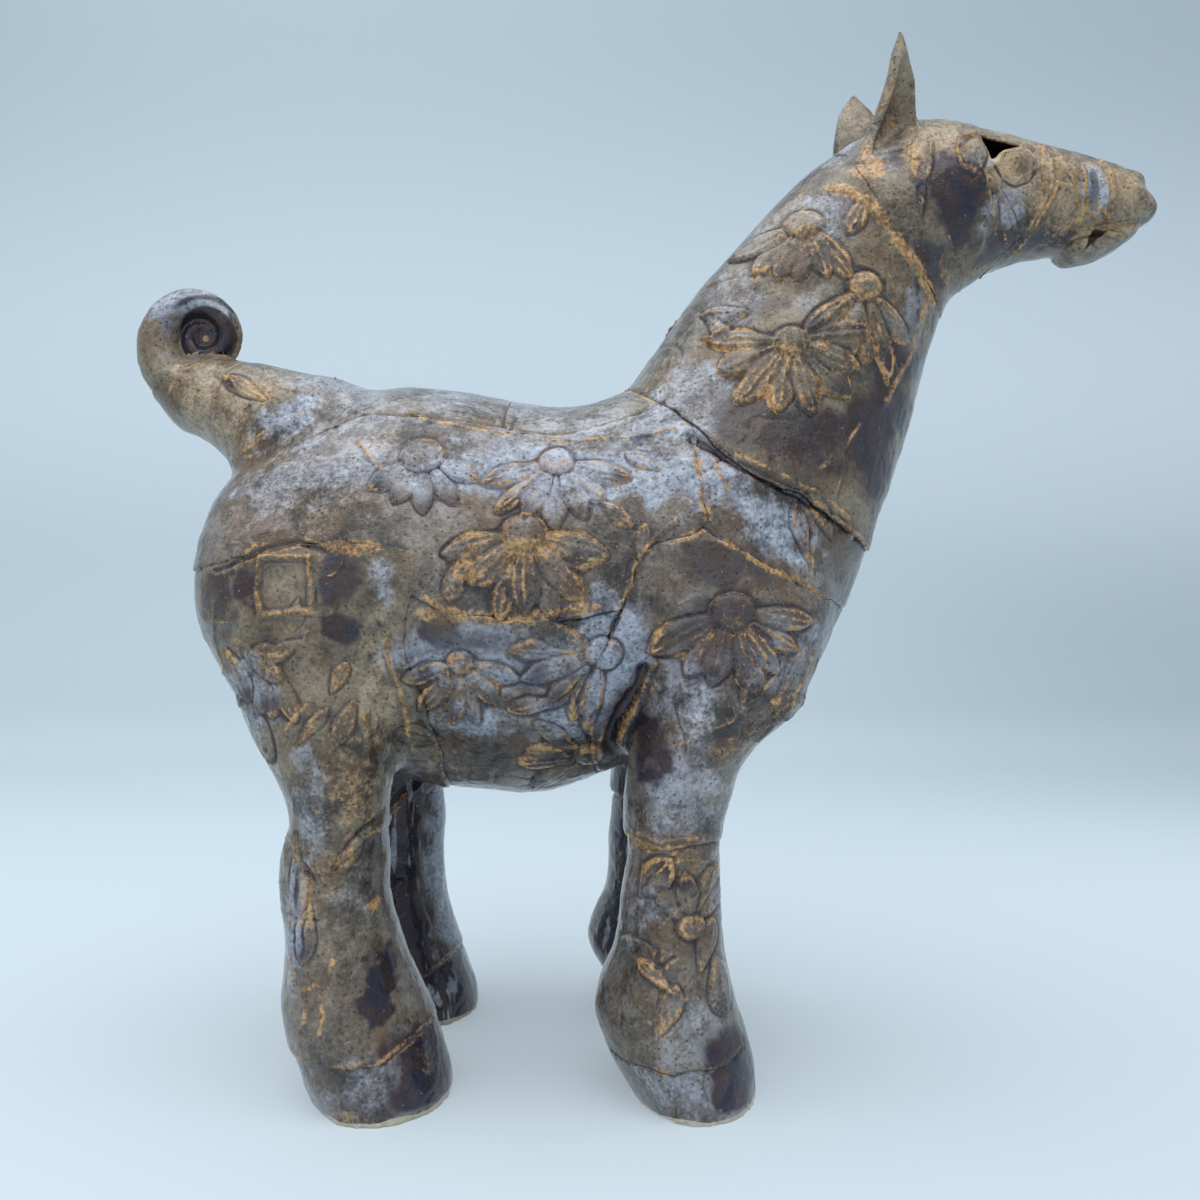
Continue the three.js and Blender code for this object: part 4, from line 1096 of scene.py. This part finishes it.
def slab_field(domain, body, kind, side):
    """The field of one slab, cut out of the body and hollowed. Side 0 is on the middle plane."""
    _, outline, lips = OUTLINES_OF[kind]
    xs, zs = zip(*outline)
    small, spot = domain.part(
        (min(xs) - 4, -3 if side > 0 else -80, min(zs) - 4),
        (max(xs) + 4, 3 if side < 0 else 80, max(zs) + 4),
    )
    outer = body[spot]
    x, y, z = small.axes()
    flat = side_view(small)
    lip = sum(
        (amount * np.exp(-line_distance(*flat, seam) / LIP_FADE) for seam, amount in lips),
        np.zeros(flat[0].shape, np.float32),
    )[:, None, :]
    if kind == "neck_slab":
        lip = lip * (0.15 + 0.85 * ramp(12, 48, x))
    else:
        lip = lip * np.clip(0.7 + 0.9 * noise(x, 0, z, 26, 9), 0, 1.3)
    skin = outer - lip * (0.2 + 0.8 * ramp(4, 24, np.abs(y)))
    area = outline_distance(*flat, outline)[:, None, :] + GAP - CLOSED.get(kind, 0.0)
    inside = outer + (TAIL_WALL if kind == "tail_cone" else WALL)
    if kind in ("hind_hoof", "fore_hoof"):
        inside = np.maximum(inside, SOLE - z)
    if kind == "muzzle_slab":
        inside = np.maximum(inside, MUZZLE_FLOOR - z)
    if kind in ("head_slab", "muzzle_slab"):
        inside = np.maximum(inside, HEAD_WEB - np.abs(y))
    past_strip = np.abs(y) - STRIP_HALF_WIDTH - 0.8 * noise(x, 0, 0, 23, 41)
    if kind in STRIP_LIMITS:
        start, stop = STRIP_LIMITS[kind]
        bent = x + 0.8 * noise(0, y, 0, 14, 40)
        close = CROUP_OVERLAP * (bent < (CROUP_X + LOIN_X) / 2)
        area = np.maximum(area, np.maximum(start - bent, bent - stop) + GAP - close)
        area = np.maximum(area, past_strip + GAP)
    if kind == "flank_slab":
        strip = outline_distance(*flat, STRIP)[:, None, :]
        area = np.maximum(area, GAP - np.maximum(strip, past_strip))
    if side:
        area = np.maximum(area, GAP / 2 - side * y)
    field = np.maximum(soft_max(skin, area, ROUND), -inside)
    if kind == "head_slab":
        field = soft_max(field, hole_in(small, EYE_HOLE, BEHIND_EYE), HOLE_ROUND)
    if kind == "muzzle_slab":
        field = soft_max(field, hole_in(small, MOUTH, BEHIND_MOUTH), HOLE_ROUND)
    if kind == "tail_cone":
        field = np.maximum(field, COIL_GAP - curl_field[spot])
    return small, field.astype(np.float32), skin


def deepen(layers, name, values):
    layers[name] = np.maximum(layers[name], values)


def fade(layers, names, share):
    for name in names:
        layers[name] = layers[name] * (1 - share)


def dressed(points, normals, weight):
    """Presses the relief into the outer face. Returns the points and the layers of glaze, painted
    sheen and painted shade.
    """
    x, y, z = points.T
    facing = ramp(0.12, 0.5, np.abs(normals[:, 1])) * weight
    layers = {}
    for name in ("height", *LAYERS):
        on_near, on_far = near.sample(name, points), far.sample(name, points)
        layers[name] = np.where(y < 0, on_near, on_far) * facing
    swell = 0.75 * noise(x, y, z, 34, 50) + 0.4 * noise(x, y, z, 13, 51)
    skin = 0.2 * noise(x, y, z, 5, 52) + 0.12 * noise(x, y, z, 2.4, 53)
    rise = layers.pop("height") + (swell + skin) * weight

    # Slate lies on what faces up, less so on the tail's root and on the head. It is partly the
    # glaze's colour and partly painted sheen from above.
    up = ramp(0.25, 0.95, normals[:, 2] + 0.25 * cloud(x, y, z, 20, 54))
    up = up * (1 - 0.75 * ramp(-100, -116, x) * ramp(276, 262, z))
    up = up * (1 - 0.6 * ramp(96, 108, x) * ramp(296, 306, z))
    deepen(layers, "slate", 0.75 * up * (0.75 + 0.5 * noise(x, y, z, 17, 55)))

    # It lies on the left legs' fronts too, and the toes are dark.
    forward = normals[:, 0] + 0.15 * noise(x, y, z, 7, 58)
    front = ramp(0.45, 0.95, forward) * ramp(116, 98, z) * ramp(12, 34, z) * weight * (y > 0)
    deepen(layers, "slate", 0.8 * front)
    toe = ramp(0.3, 0.75, forward) * ramp(31, 22, z) * ramp(1.5, 5, z) * weight
    deepen(layers, "dark", toe * (1.0 + 0.5 * noise(x, y, z * 0.3, 3, 59)))

    # The legs' inner faces, which face the other legs, get painted shade, with streaks of slate.
    inner = ramp(0.15, 0.6, -normals[:, 1] * np.sign(y)) * ramp(112, 96, z) * weight
    inner = inner * (1 - front)
    streaks = cloud(x * 1.8, y * 1.8, z * 0.3, 5, 56) + 0.3 * noise(x, y, z, 16, 57)
    streaks = ramp(0.05, 0.5, streaks)
    fade(layers, ("gold", "slate", "dark"), inner)
    deepen(layers, "dark", inner * (1.4 - 1.3 * streaks))
    deepen(layers, "slate", inner * streaks * 0.8)
    return points + normals * rise[:, None], layers


def add_piece(node, slot, points, loops, sizes, layers):
    piece = make_object("glazed_" + node, points, loops, sizes, layers, materials[slot])
    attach(piece, "root")
    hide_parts(node)


def add_slab(node, kind, domain, body, side):
    slot, outline, _ = OUTLINES_OF[kind]
    rim_dark, rim_gold = RIMS.get(kind, USUAL_RIM)
    small, field, skin = slab_field(domain, body, kind, side)
    points, quads = small.surface(field)
    wanted = small.sample(skin, points[quads].mean(1)) > -FINE_DEPTH
    points, loops, sizes, small_quads = refined(points, quads, wanted)
    weight = ramp(-1.5, -0.4, small.sample(skin, points))
    normals = normals_of(points, small_quads)
    edge = -outline_distance(*wander(points[:, 0], points[:, 2]), outline)
    points, layers = dressed(points, normals, weight)
    points[:, 2] = np.maximum(points[:, 2], 0)
    x, y, z = points.T
    broken = rim_gold + 0.65 * noise(x, y, z, 15, 60) + 0.3 * noise(x, y, z, 4, 62)
    rim = np.exp(-((edge - 0.7) / 0.9) ** 2) * broken * weight
    if kind == "neck_slab":
        rim = rim * ramp(28, 60, x)
    deepen(layers, "gold", rim)
    # Painted shade in the seam along the slab's edge.
    shade = (rim_dark + 0.6 * noise(x, y, z, 18, 63)) * np.exp(-(edge / 0.6) ** 2)
    deepen(layers, "dark", shade * weight)
    # Painted shade on all below the outer skin: the insides, the cut faces and the openings' walls.
    deepen(layers, "dark", LAYER_TOP * ramp(0.5, 0.0, weight))
    if kind.endswith("hoof"):
        layers["clay"] = ramp(2.6, 1.2, z + 1.1 * noise(x, y, z, 9, 61))
    add_piece(node, slot, points, loops, sizes, layers)


def shrunk(rows, wall, forward, out):
    """The rows of a tube's inside, moved by a step forward and out."""
    found = []
    for xa, za, xb, zb, w, y in rows_at(rows, np.arange(0, len(rows) - 0.99, 0.25)):
        height = math.hypot(xa - xb, za - zb)
        if min(height / 2, w) > 1.4 * wall:
            k = wall / height
            found.append((
                xa + (xb - xa) * k + forward, za + (zb - za) * k,
                xb - (xb - xa) * k + forward, zb - (zb - za) * k, w - wall, y + out,
            ))
    return found


def mirrored(points, loops, sizes):
    """The same mesh on the other side of the middle plane."""
    flipped = points * (1, -1, 1)
    starts = np.concatenate([[0], np.cumsum(sizes)])
    at = np.arange(len(loops))
    face = np.repeat(np.arange(len(sizes)), sizes)
    return flipped, loops[starts[face] + starts[face + 1] - 1 - at], sizes


def add_lump(node, domain, lump, head, fillet, side, hole=None):
    """A lump of clay pressed on to the head: an ear, an eyelid, a brow pad or the jaw."""
    field = soft_min(lump, head, fillet) + 0.2
    if hole is not None:
        field = soft_max(field, hole, 0.6)
    field = np.maximum(np.maximum(field, -(head + PRESSED_IN)), lump - fillet * 0.95)
    points, quads = domain.surface(field.astype(np.float32))
    points, loops, sizes, small = refined(points, quads, np.ones(len(quads), bool))
    if side > 0:
        points, loops, sizes = mirrored(points, loops, sizes)
        small = loops.reshape(-1, 4)
    normals = normals_of(points, small)
    near_points = points * (1, -side, 1)
    weight = ramp(-1.1, -0.5, domain.sample(head, near_points))
    if hole is not None:
        weight = weight * ramp(0.6, -0.4, domain.sample(hole, near_points))
    points, layers = dressed(points, normals, weight)
    # Painted shade where the lump sinks into the head and inside the eye hole.
    deepen(layers, "dark", LAYER_TOP * ramp(0.5, 0.0, weight))
    seam = ramp(0.55, 0.1, np.abs(domain.sample(lump, near_points) - 0.7) / 3)
    x, y, z = points.T
    deepen(layers, "gold", 0.6 * seam * (0.6 + 0.6 * noise(x, y, z, 5, 70)))
    add_piece(node, "bronze_glaze", points, loops, sizes, layers)


def add_ears():
    domain = Domain((80, -38, 314), (126, -6, 373), FINEST)
    head = head_in(domain)
    for side, name in SIDES:
        rows = stations(EAR if side < 0 else FAR_EAR, EAR_HALF_WIDTH, EAR_LEAN, EAR_ROOT)
        ear = domain.solid(rows, 50, 48)
        cup = domain.solid(shrunk(rows, EAR_WALL, CUP_FORWARD, CUP_OUT), 40, 40)
        ear = soft_max(ear, -cup, 0.7)
        add_lump(name + "_ear", domain, ear, head, 5.0, side)


def add_pads():
    domain = Domain((116, -38, 304), (162, -10, 340), FINEST)
    head = head_in(domain)
    flat = outline_distance(*side_view(domain), EYE_HOLE)[:, None, :]
    hole = np.broadcast_to(-flat, head.shape)
    lid, brow = ellipsoid(domain, *EYELID), ellipsoid(domain, *BROW_PAD)
    for side, name in SIDES:
        add_lump(name + "_eyelid", domain, lid, head, 1.6, side, hole)
        add_lump(name + "_brow_pad", domain, brow, head, 1.8, side, hole)


def add_jaw():
    domain = Domain((146, -18, 284), (208, 18, 313), FINEST)
    jaw, head = domain.solid(jaw_rows, 60, 48), head_in(domain)
    add_lump("lower_jaw", domain, jaw, head, 2.4, -1, hole_in(domain, MOUTH, BEHIND_MOUTH))


def add_curl():
    field = soft_min(curl_field, web_field(rear), 0.8).astype(np.float32)
    points, quads = rear.surface(field)
    points, loops, sizes, small = refined(points, quads, np.ones(len(quads), bool))
    normals = normals_of(points, small)
    points, layers = dressed(points, normals, np.ones(len(points)))
    x, z = points[:, 0], points[:, 2]
    depth = np.hypot(x - COIL_GLINT[0], z - COIL_GLINT[1])
    off = np.hypot(x - COIL_HOLLOW[0], z - COIL_HOLLOW[1])
    turn = np.degrees(np.arctan2(z - COIL_HOLLOW[1], x - COIL_HOLLOW[0]))
    # Painted shade in the coil's hollow.
    hollow = ramp(11.6, 9.0, off) * ramp(0.8, 2.0, depth)
    fade(layers, ("gold", "slate"), hollow)
    deepen(layers, "dark", 1.3 * hollow)
    # A painted gold highlight on the point in the middle of the hollow.
    deepen(layers, "gold", 0.6 * ramp(1.8, 0.6, depth))
    # Painted shade along the arc where the outer turn meets the next.
    arc = np.exp(-((off - 14) / 1.6) ** 2) * ramp(150, 120, turn) * ramp(20, 50, turn)
    deepen(layers, "dark", 0.9 * arc)
    add_piece("tail_curl", "bronze_glaze", points, loops, sizes, layers)


# Materials. Colours are sRGB, from 0 to 255. Noise mixes the two tones of a pair.

RUST = (116, 88, 60)
HONEY = ((116, 96, 74), (216, 190, 154))
SLATE_AND_SHEEN = ((92, 98, 116), (216, 225, 240))
LILAC = (118, 106, 126)
POOL_AND_SHADE = ((14, 17, 52), (50, 24, 28))
PIT = (38, 34, 34)
CRUMB = (200, 192, 180)
SPECK = (40, 35, 34)
BLOOM = (205, 205, 208)
GOLD = ((126, 86, 48), (218, 174, 116))
CLAY = ((206, 190, 164), (232, 222, 204))
PAPER = (180, 195, 206)
# Each slot: the deep and the light tone of its bronze, and how much more slate and dark it has.
GLAZES = {
    "bronze_glaze": ((52, 45, 39), (162, 146, 121), 0.0, 0.02),
    "slate_glaze": ((48, 43, 45), (154, 140, 126), 0.12, 0.05),
    "umber_glaze": ((53, 45, 41), (146, 133, 117), 0.02, 0.05),
    "hoof_glaze": ((55, 49, 51), (144, 134, 128), 0.13, 0.04),
}


def linear(colour):
    """A colour as Blender's linear one."""
    return (*(
        v / 255 / 12.92 if v <= 10 else ((v / 255 + 0.055) / 1.055) ** 2.4 for v in colour
    ), 1.0)


class Nodes:
    """Short calls to build a node tree."""

    def __init__(self, tree):
        self.tree = tree

    def add(self, kind, inputs=(), **settings):
        made = self.tree.nodes.new(kind)
        for name, value in settings.items():
            setattr(made, name, value)
        for name, value in dict(inputs).items():
            self.put(made.inputs[name], value)
        return made

    def put(self, socket, value):
        if isinstance(value, bpy.types.NodeSocket):
            self.tree.links.new(value, socket)
        else:
            socket.default_value = value

    def math(self, operation, a, b=0.0, c=0.0):
        return self.add("ShaderNodeMath", {0: a, 1: b, 2: c}, operation=operation).outputs[0]

    def ramp(self, low, high, value):
        return self.add(
            "ShaderNodeMapRange", {0: value, 1: low, 2: high}, interpolation_type="SMOOTHSTEP",
        ).outputs[0]

    def mix(self, factor, a, b):
        return self.add("ShaderNodeMix", {0: factor, 6: a, 7: b}, data_type="RGBA").outputs[2]

    def between(self, factor, pair):
        return self.mix(factor, *map(linear, pair))

    def stain(self, under, mask, share, over):
        """Lays a colour over another, as a share of the mask."""
        return self.mix(self.math("MULTIPLY", mask, share), under, over)

    def noise(self, where, size, detail=3.0, rough=0.55):
        return self.add("ShaderNodeTexNoise", {
            "Vector": where, "Scale": 1 / (size * MM), "Detail": detail, "Roughness": rough,
        }).outputs[0]

    def layer(self, name):
        return self.add("ShaderNodeAttribute", attribute_name=name).outputs["Fac"]

    def sum(self, *terms):
        """Adds pairs of a value and its share."""
        total = 0.0
        for value, share in terms:
            total = self.math("MULTIPLY_ADD", value, share, total)
        return total


def new_material(name):
    made = bpy.data.materials.new(name)
    made.use_nodes = True
    made.node_tree.nodes.clear()
    return made, Nodes(made.node_tree)


def glaze(slot, deep, light, slate_share, dark_share):
    """Bronze, with slate where it lay thick and as painted sheen on top, dark pools and painted
    shade, gold on edges and bare clay below.
    """
    made, t = new_material(slot)
    where = t.add("ShaderNodeTexCoord").outputs["Object"]
    big, mid = t.noise(where, 26, 3), t.noise(where, 6, 4)
    fine, grain = t.noise(where, 1.3, 3), t.noise(where, 0.5, 2)
    tone = t.ramp(0.36, 0.64, t.sum((big, 0.5), (mid, 0.28), (fine, 0.22)))
    bronze = t.between(tone, (deep, light))
    warm = t.ramp(0.48, 0.64, t.noise(where, 17, 2))
    bronze = t.stain(bronze, warm, 0.55, linear(RUST))
    honey = t.ramp(0.2, 1.1, t.sum((t.layer("warm"), 1.0), (mid, 1.0), (fine, 0.8), (0.9, -1.0)))
    bronze = t.mix(honey, bronze, t.between(tone, HONEY))

    # Slate, for the glaze's own slate and for the painted sheen on top surfaces alike.
    cool = t.ramp(0.28, 0.7, t.sum((mid, 0.6), (fine, 0.4)))
    lilac = t.ramp(0.45, 0.65, t.noise(where, 12, 2))
    slate = t.stain(t.between(cool, SLATE_AND_SHEEN), lilac, 0.35, linear(LILAC))
    share = t.sum((t.layer("slate"), 1.0), (mid, 0.85), (fine, 0.5), (big, 1.1))
    share = t.ramp(0.1, 1.0, t.math("ADD", share, slate_share - 1.22))
    colour = t.mix(share, bronze, slate)
    grit = t.noise(where, 1.9, 5, 0.7)
    colour = t.stain(colour, t.ramp(0.5, 0.36, grit), 0.38, linear(PIT))
    colour = t.stain(colour, t.ramp(0.56, 0.7, grit), 0.14, linear(CRUMB))
    # Dark glaze pools, and the painted shade of creases, hollows and insides.
    pool_and_shade = t.sum((t.layer("dark"), 1.0), (mid, 0.9), (fine, 0.5), (big, 1.1))
    pool_and_shade = t.ramp(0.2, 0.86, t.math("ADD", pool_and_shade, dark_share - 1.25))
    colour = t.stain(colour, pool_and_shade, 0.95, t.between(t.ramp(0.42, 0.58, mid), POOL_AND_SHADE))

    specks = t.add("ShaderNodeTexVoronoi", {"Vector": where, "Scale": 1 / (1.7 * MM)})
    away = specks.outputs["Distance"]
    chance = t.add("ShaderNodeSeparateColor", {0: specks.outputs["Color"]}).outputs[0]
    dark_one, pale_one = t.math("GREATER_THAN", chance, 0.66), t.math("LESS_THAN", chance, 0.09)
    speck = t.math("MULTIPLY", t.ramp(0.3, 0.16, away), dark_one)
    colour = t.stain(colour, speck, 0.6, linear(SPECK))
    bloom = t.math("MULTIPLY", t.ramp(0.24, 0.12, away), pale_one)
    colour = t.stain(colour, bloom, 0.45, linear(BLOOM))

    gold = t.sum((t.layer("gold"), 1.0), (fine, 0.8), (grain, 0.5), (mid, 0.5))
    gold = t.ramp(0.25, 0.8, t.math("ADD", gold, -0.9))
    rub = t.ramp(0.38, 0.62, t.sum((mid, 0.5), (fine, 0.5)))
    colour = t.mix(gold, colour, t.between(rub, GOLD))
    bare = t.ramp(0.62, 0.78, t.sum((t.layer("clay"), 0.7), (mid, 0.3), (fine, 0.2)))
    colour = t.mix(bare, colour, t.between(fine, CLAY))

    rough = t.sum(
        (mid, 0.2), (grain, 0.14), (share, 0.08), (pool_and_shade, -0.12), (gold, 0.1), (bare, 0.35),
    )
    height = t.sum((fine, 0.6), (mid, 0.9), (grain, 0.3), (speck, -0.4), (bloom, 0.3))
    bump = t.add("ShaderNodeBump", {"Strength": 0.9, "Distance": 1.1 * MM, "Height": height})
    shader = t.add("ShaderNodeBsdfPrincipled", {
        "Base Color": colour, "Roughness": t.math("ADD", rough, 0.12), "Normal": bump.outputs[0],
        "Metallic": 0.1, "Specular IOR Level": 0.35, "Coat Weight": 0.62, "Coat Roughness": 0.1,
    })
    t.add("ShaderNodeOutputMaterial", {"Surface": shader.outputs[0]})
    return made


materials = {slot: glaze(slot, *look) for slot, look in GLAZES.items()}

for kind in ("saddle_slab", "loin_slab", "croup_slab", "belly_slab"):
    add_slab(kind, kind, trunk, trunk_body, 0)
for side, name in SIDES:
    for kind in (
        "flank_slab", "haunch_slab", "shoulder_slab", "collar_slab", "neck_slab", "hind_cuff",
        "fore_cuff", "hind_hoof", "fore_hoof",
    ):
        add_slab(f"{name}_{kind}", kind, trunk, trunk_body, side)
for side, name in SIDES:
    add_slab(name + "_head_slab", "head_slab", skull, skull_body, side)
add_slab("muzzle_slab", "muzzle_slab", skull, skull_body, 0)
add_slab("tail_cone", "tail_cone", rear, rear_body, 0)
add_ears()
add_pads()
add_curl()
add_jaw()


# The stage, in metres: a pale sweep, one large soft light overhead, a weak one in front and the
# camera at the photograph's place.

SWEEP_SIDE = 2.4
SWEEP_FRONT, SWEEP_BACK, SWEEP_TOP = -1.4, 0.75, 2.2
SWEEP_BEND = 0.4  # the radius between floor and wall
LENS = SENSOR_WIDTH = 36  # millimetres, for a field of view of 53 degrees
ROOM_COLOUR = (0.72, 0.8, 0.86, 1)
ROOM_STRENGTH = 0.6


def add_sweep():
    wall = SWEEP_BACK + SWEEP_BEND
    profile = [
        (SWEEP_FRONT, 0.0), (SWEEP_BACK, 0.0),
        *(
            (SWEEP_BACK + SWEEP_BEND * math.sin(a), SWEEP_BEND - SWEEP_BEND * math.cos(a))
            for a in np.linspace(0.1, 1.47, 16)
        ),
        (wall, SWEEP_BEND), (wall, SWEEP_TOP),
    ]
    points = [(x, y, z) for y, z in profile for x in (-SWEEP_SIDE, SWEEP_SIDE)]
    quads = [(2 * i, 2 * i + 1, 2 * i + 3, 2 * i + 2) for i in range(len(profile) - 1)]
    mesh = bpy.data.meshes.new("sweep")
    mesh.from_pydata(points, [], quads)
    mesh.polygons.foreach_set("use_smooth", [True] * len(quads))
    made, t = new_material("pale_paper")
    paper = t.add("ShaderNodeBsdfDiffuse", {"Color": linear(PAPER)})
    path = t.add("ShaderNodeLightPath").outputs
    straight = t.math("MAXIMUM", path["Is Camera Ray"], path["Is Glossy Ray"])
    straight = t.math("MAXIMUM", straight, path["Is Transmission Ray"])
    x, y, z = t.add(
        "ShaderNodeSeparateXYZ", {0: t.add("ShaderNodeTexCoord").outputs["Object"]},
    ).outputs[:3]
    # Painted shadow on the right of the floor, towards the bend.
    side = t.math("MULTIPLY", t.ramp(0.0, 0.7, x), t.ramp(0.25, 0.6, y))
    side = t.math("MULTIPLY", side, t.ramp(0.3, 0.1, z))
    # The paper glows for the camera and in reflections. How much it glows is painted light and
    # shade: more on the floor and most at its front, a little more on the wall above the bend, less
    # towards the top.
    painted_light_and_shade = t.sum(
        (t.ramp(0.2, 0.43, z), 0.1), (t.ramp(0.45, 0.95, z), -0.17), (t.ramp(0.05, 0.0, z), 0.06),
        (t.ramp(0.75, 0.15, y), 0.06), (side, -0.09),
    )
    own = t.add("ShaderNodeEmission", {
        "Color": (0.9, 1.0, 1.05, 1),
        "Strength": t.math("MULTIPLY", straight, t.math("ADD", painted_light_and_shade, 0.147)),
    })
    both = t.add("ShaderNodeAddShader", {0: paper.outputs[0], 1: own.outputs[0]})
    t.add("ShaderNodeOutputMaterial", {"Surface": both.outputs[0]})
    mesh.materials.append(made)
    sweep = bpy.data.objects.new("sweep", mesh)
    bpy.context.scene.collection.objects.link(sweep)


def add_lamp(name, place, aim, size, power, colour):
    lamp = bpy.data.lights.new(name, "AREA")
    lamp.shape = "RECTANGLE"
    lamp.size, lamp.size_y = size
    lamp.energy = power
    lamp.color = colour
    made = bpy.data.objects.new(name, lamp)
    made.location = place
    way = np.array(aim) - np.array(place)
    made.rotation_euler = Vector(way).to_track_quat("-Z", "Y").to_euler()
    bpy.context.scene.collection.objects.link(made)


def add_camera():
    lens = bpy.data.cameras.new("camera")
    lens.lens = LENS
    lens.sensor_width = SENSOR_WIDTH
    lens.clip_start = 0.01
    made = bpy.data.objects.new("camera", lens)
    made.location = (SHIFT * MM, -REACH * MM, EYE_LEVEL * MM)
    made.rotation_euler = (math.pi / 2, 0, 0)
    bpy.context.scene.collection.objects.link(made)
    bpy.context.scene.camera = made


add_sweep()
add_lamp(
    "overhead", place=(-0.15, -0.2, 1.35), aim=(0, 0.02, 0.2), size=(2.2, 1.6), power=17,
    colour=(1.0, 0.99, 0.97),
)
add_lamp(
    "front", place=(-0.5, -1.3, 0.7), aim=(0, 0, 0.2), size=(1.2, 1.2), power=2.5,
    colour=(0.97, 0.98, 1.0),
)
world = bpy.data.worlds.new("room")
world.use_nodes = True
background = world.node_tree.nodes["Background"]
background.inputs["Color"].default_value = ROOM_COLOUR
background.inputs["Strength"].default_value = ROOM_STRENGTH
bpy.context.scene.world = world
bpy.context.scene.view_settings.view_transform = "Standard"
add_camera()
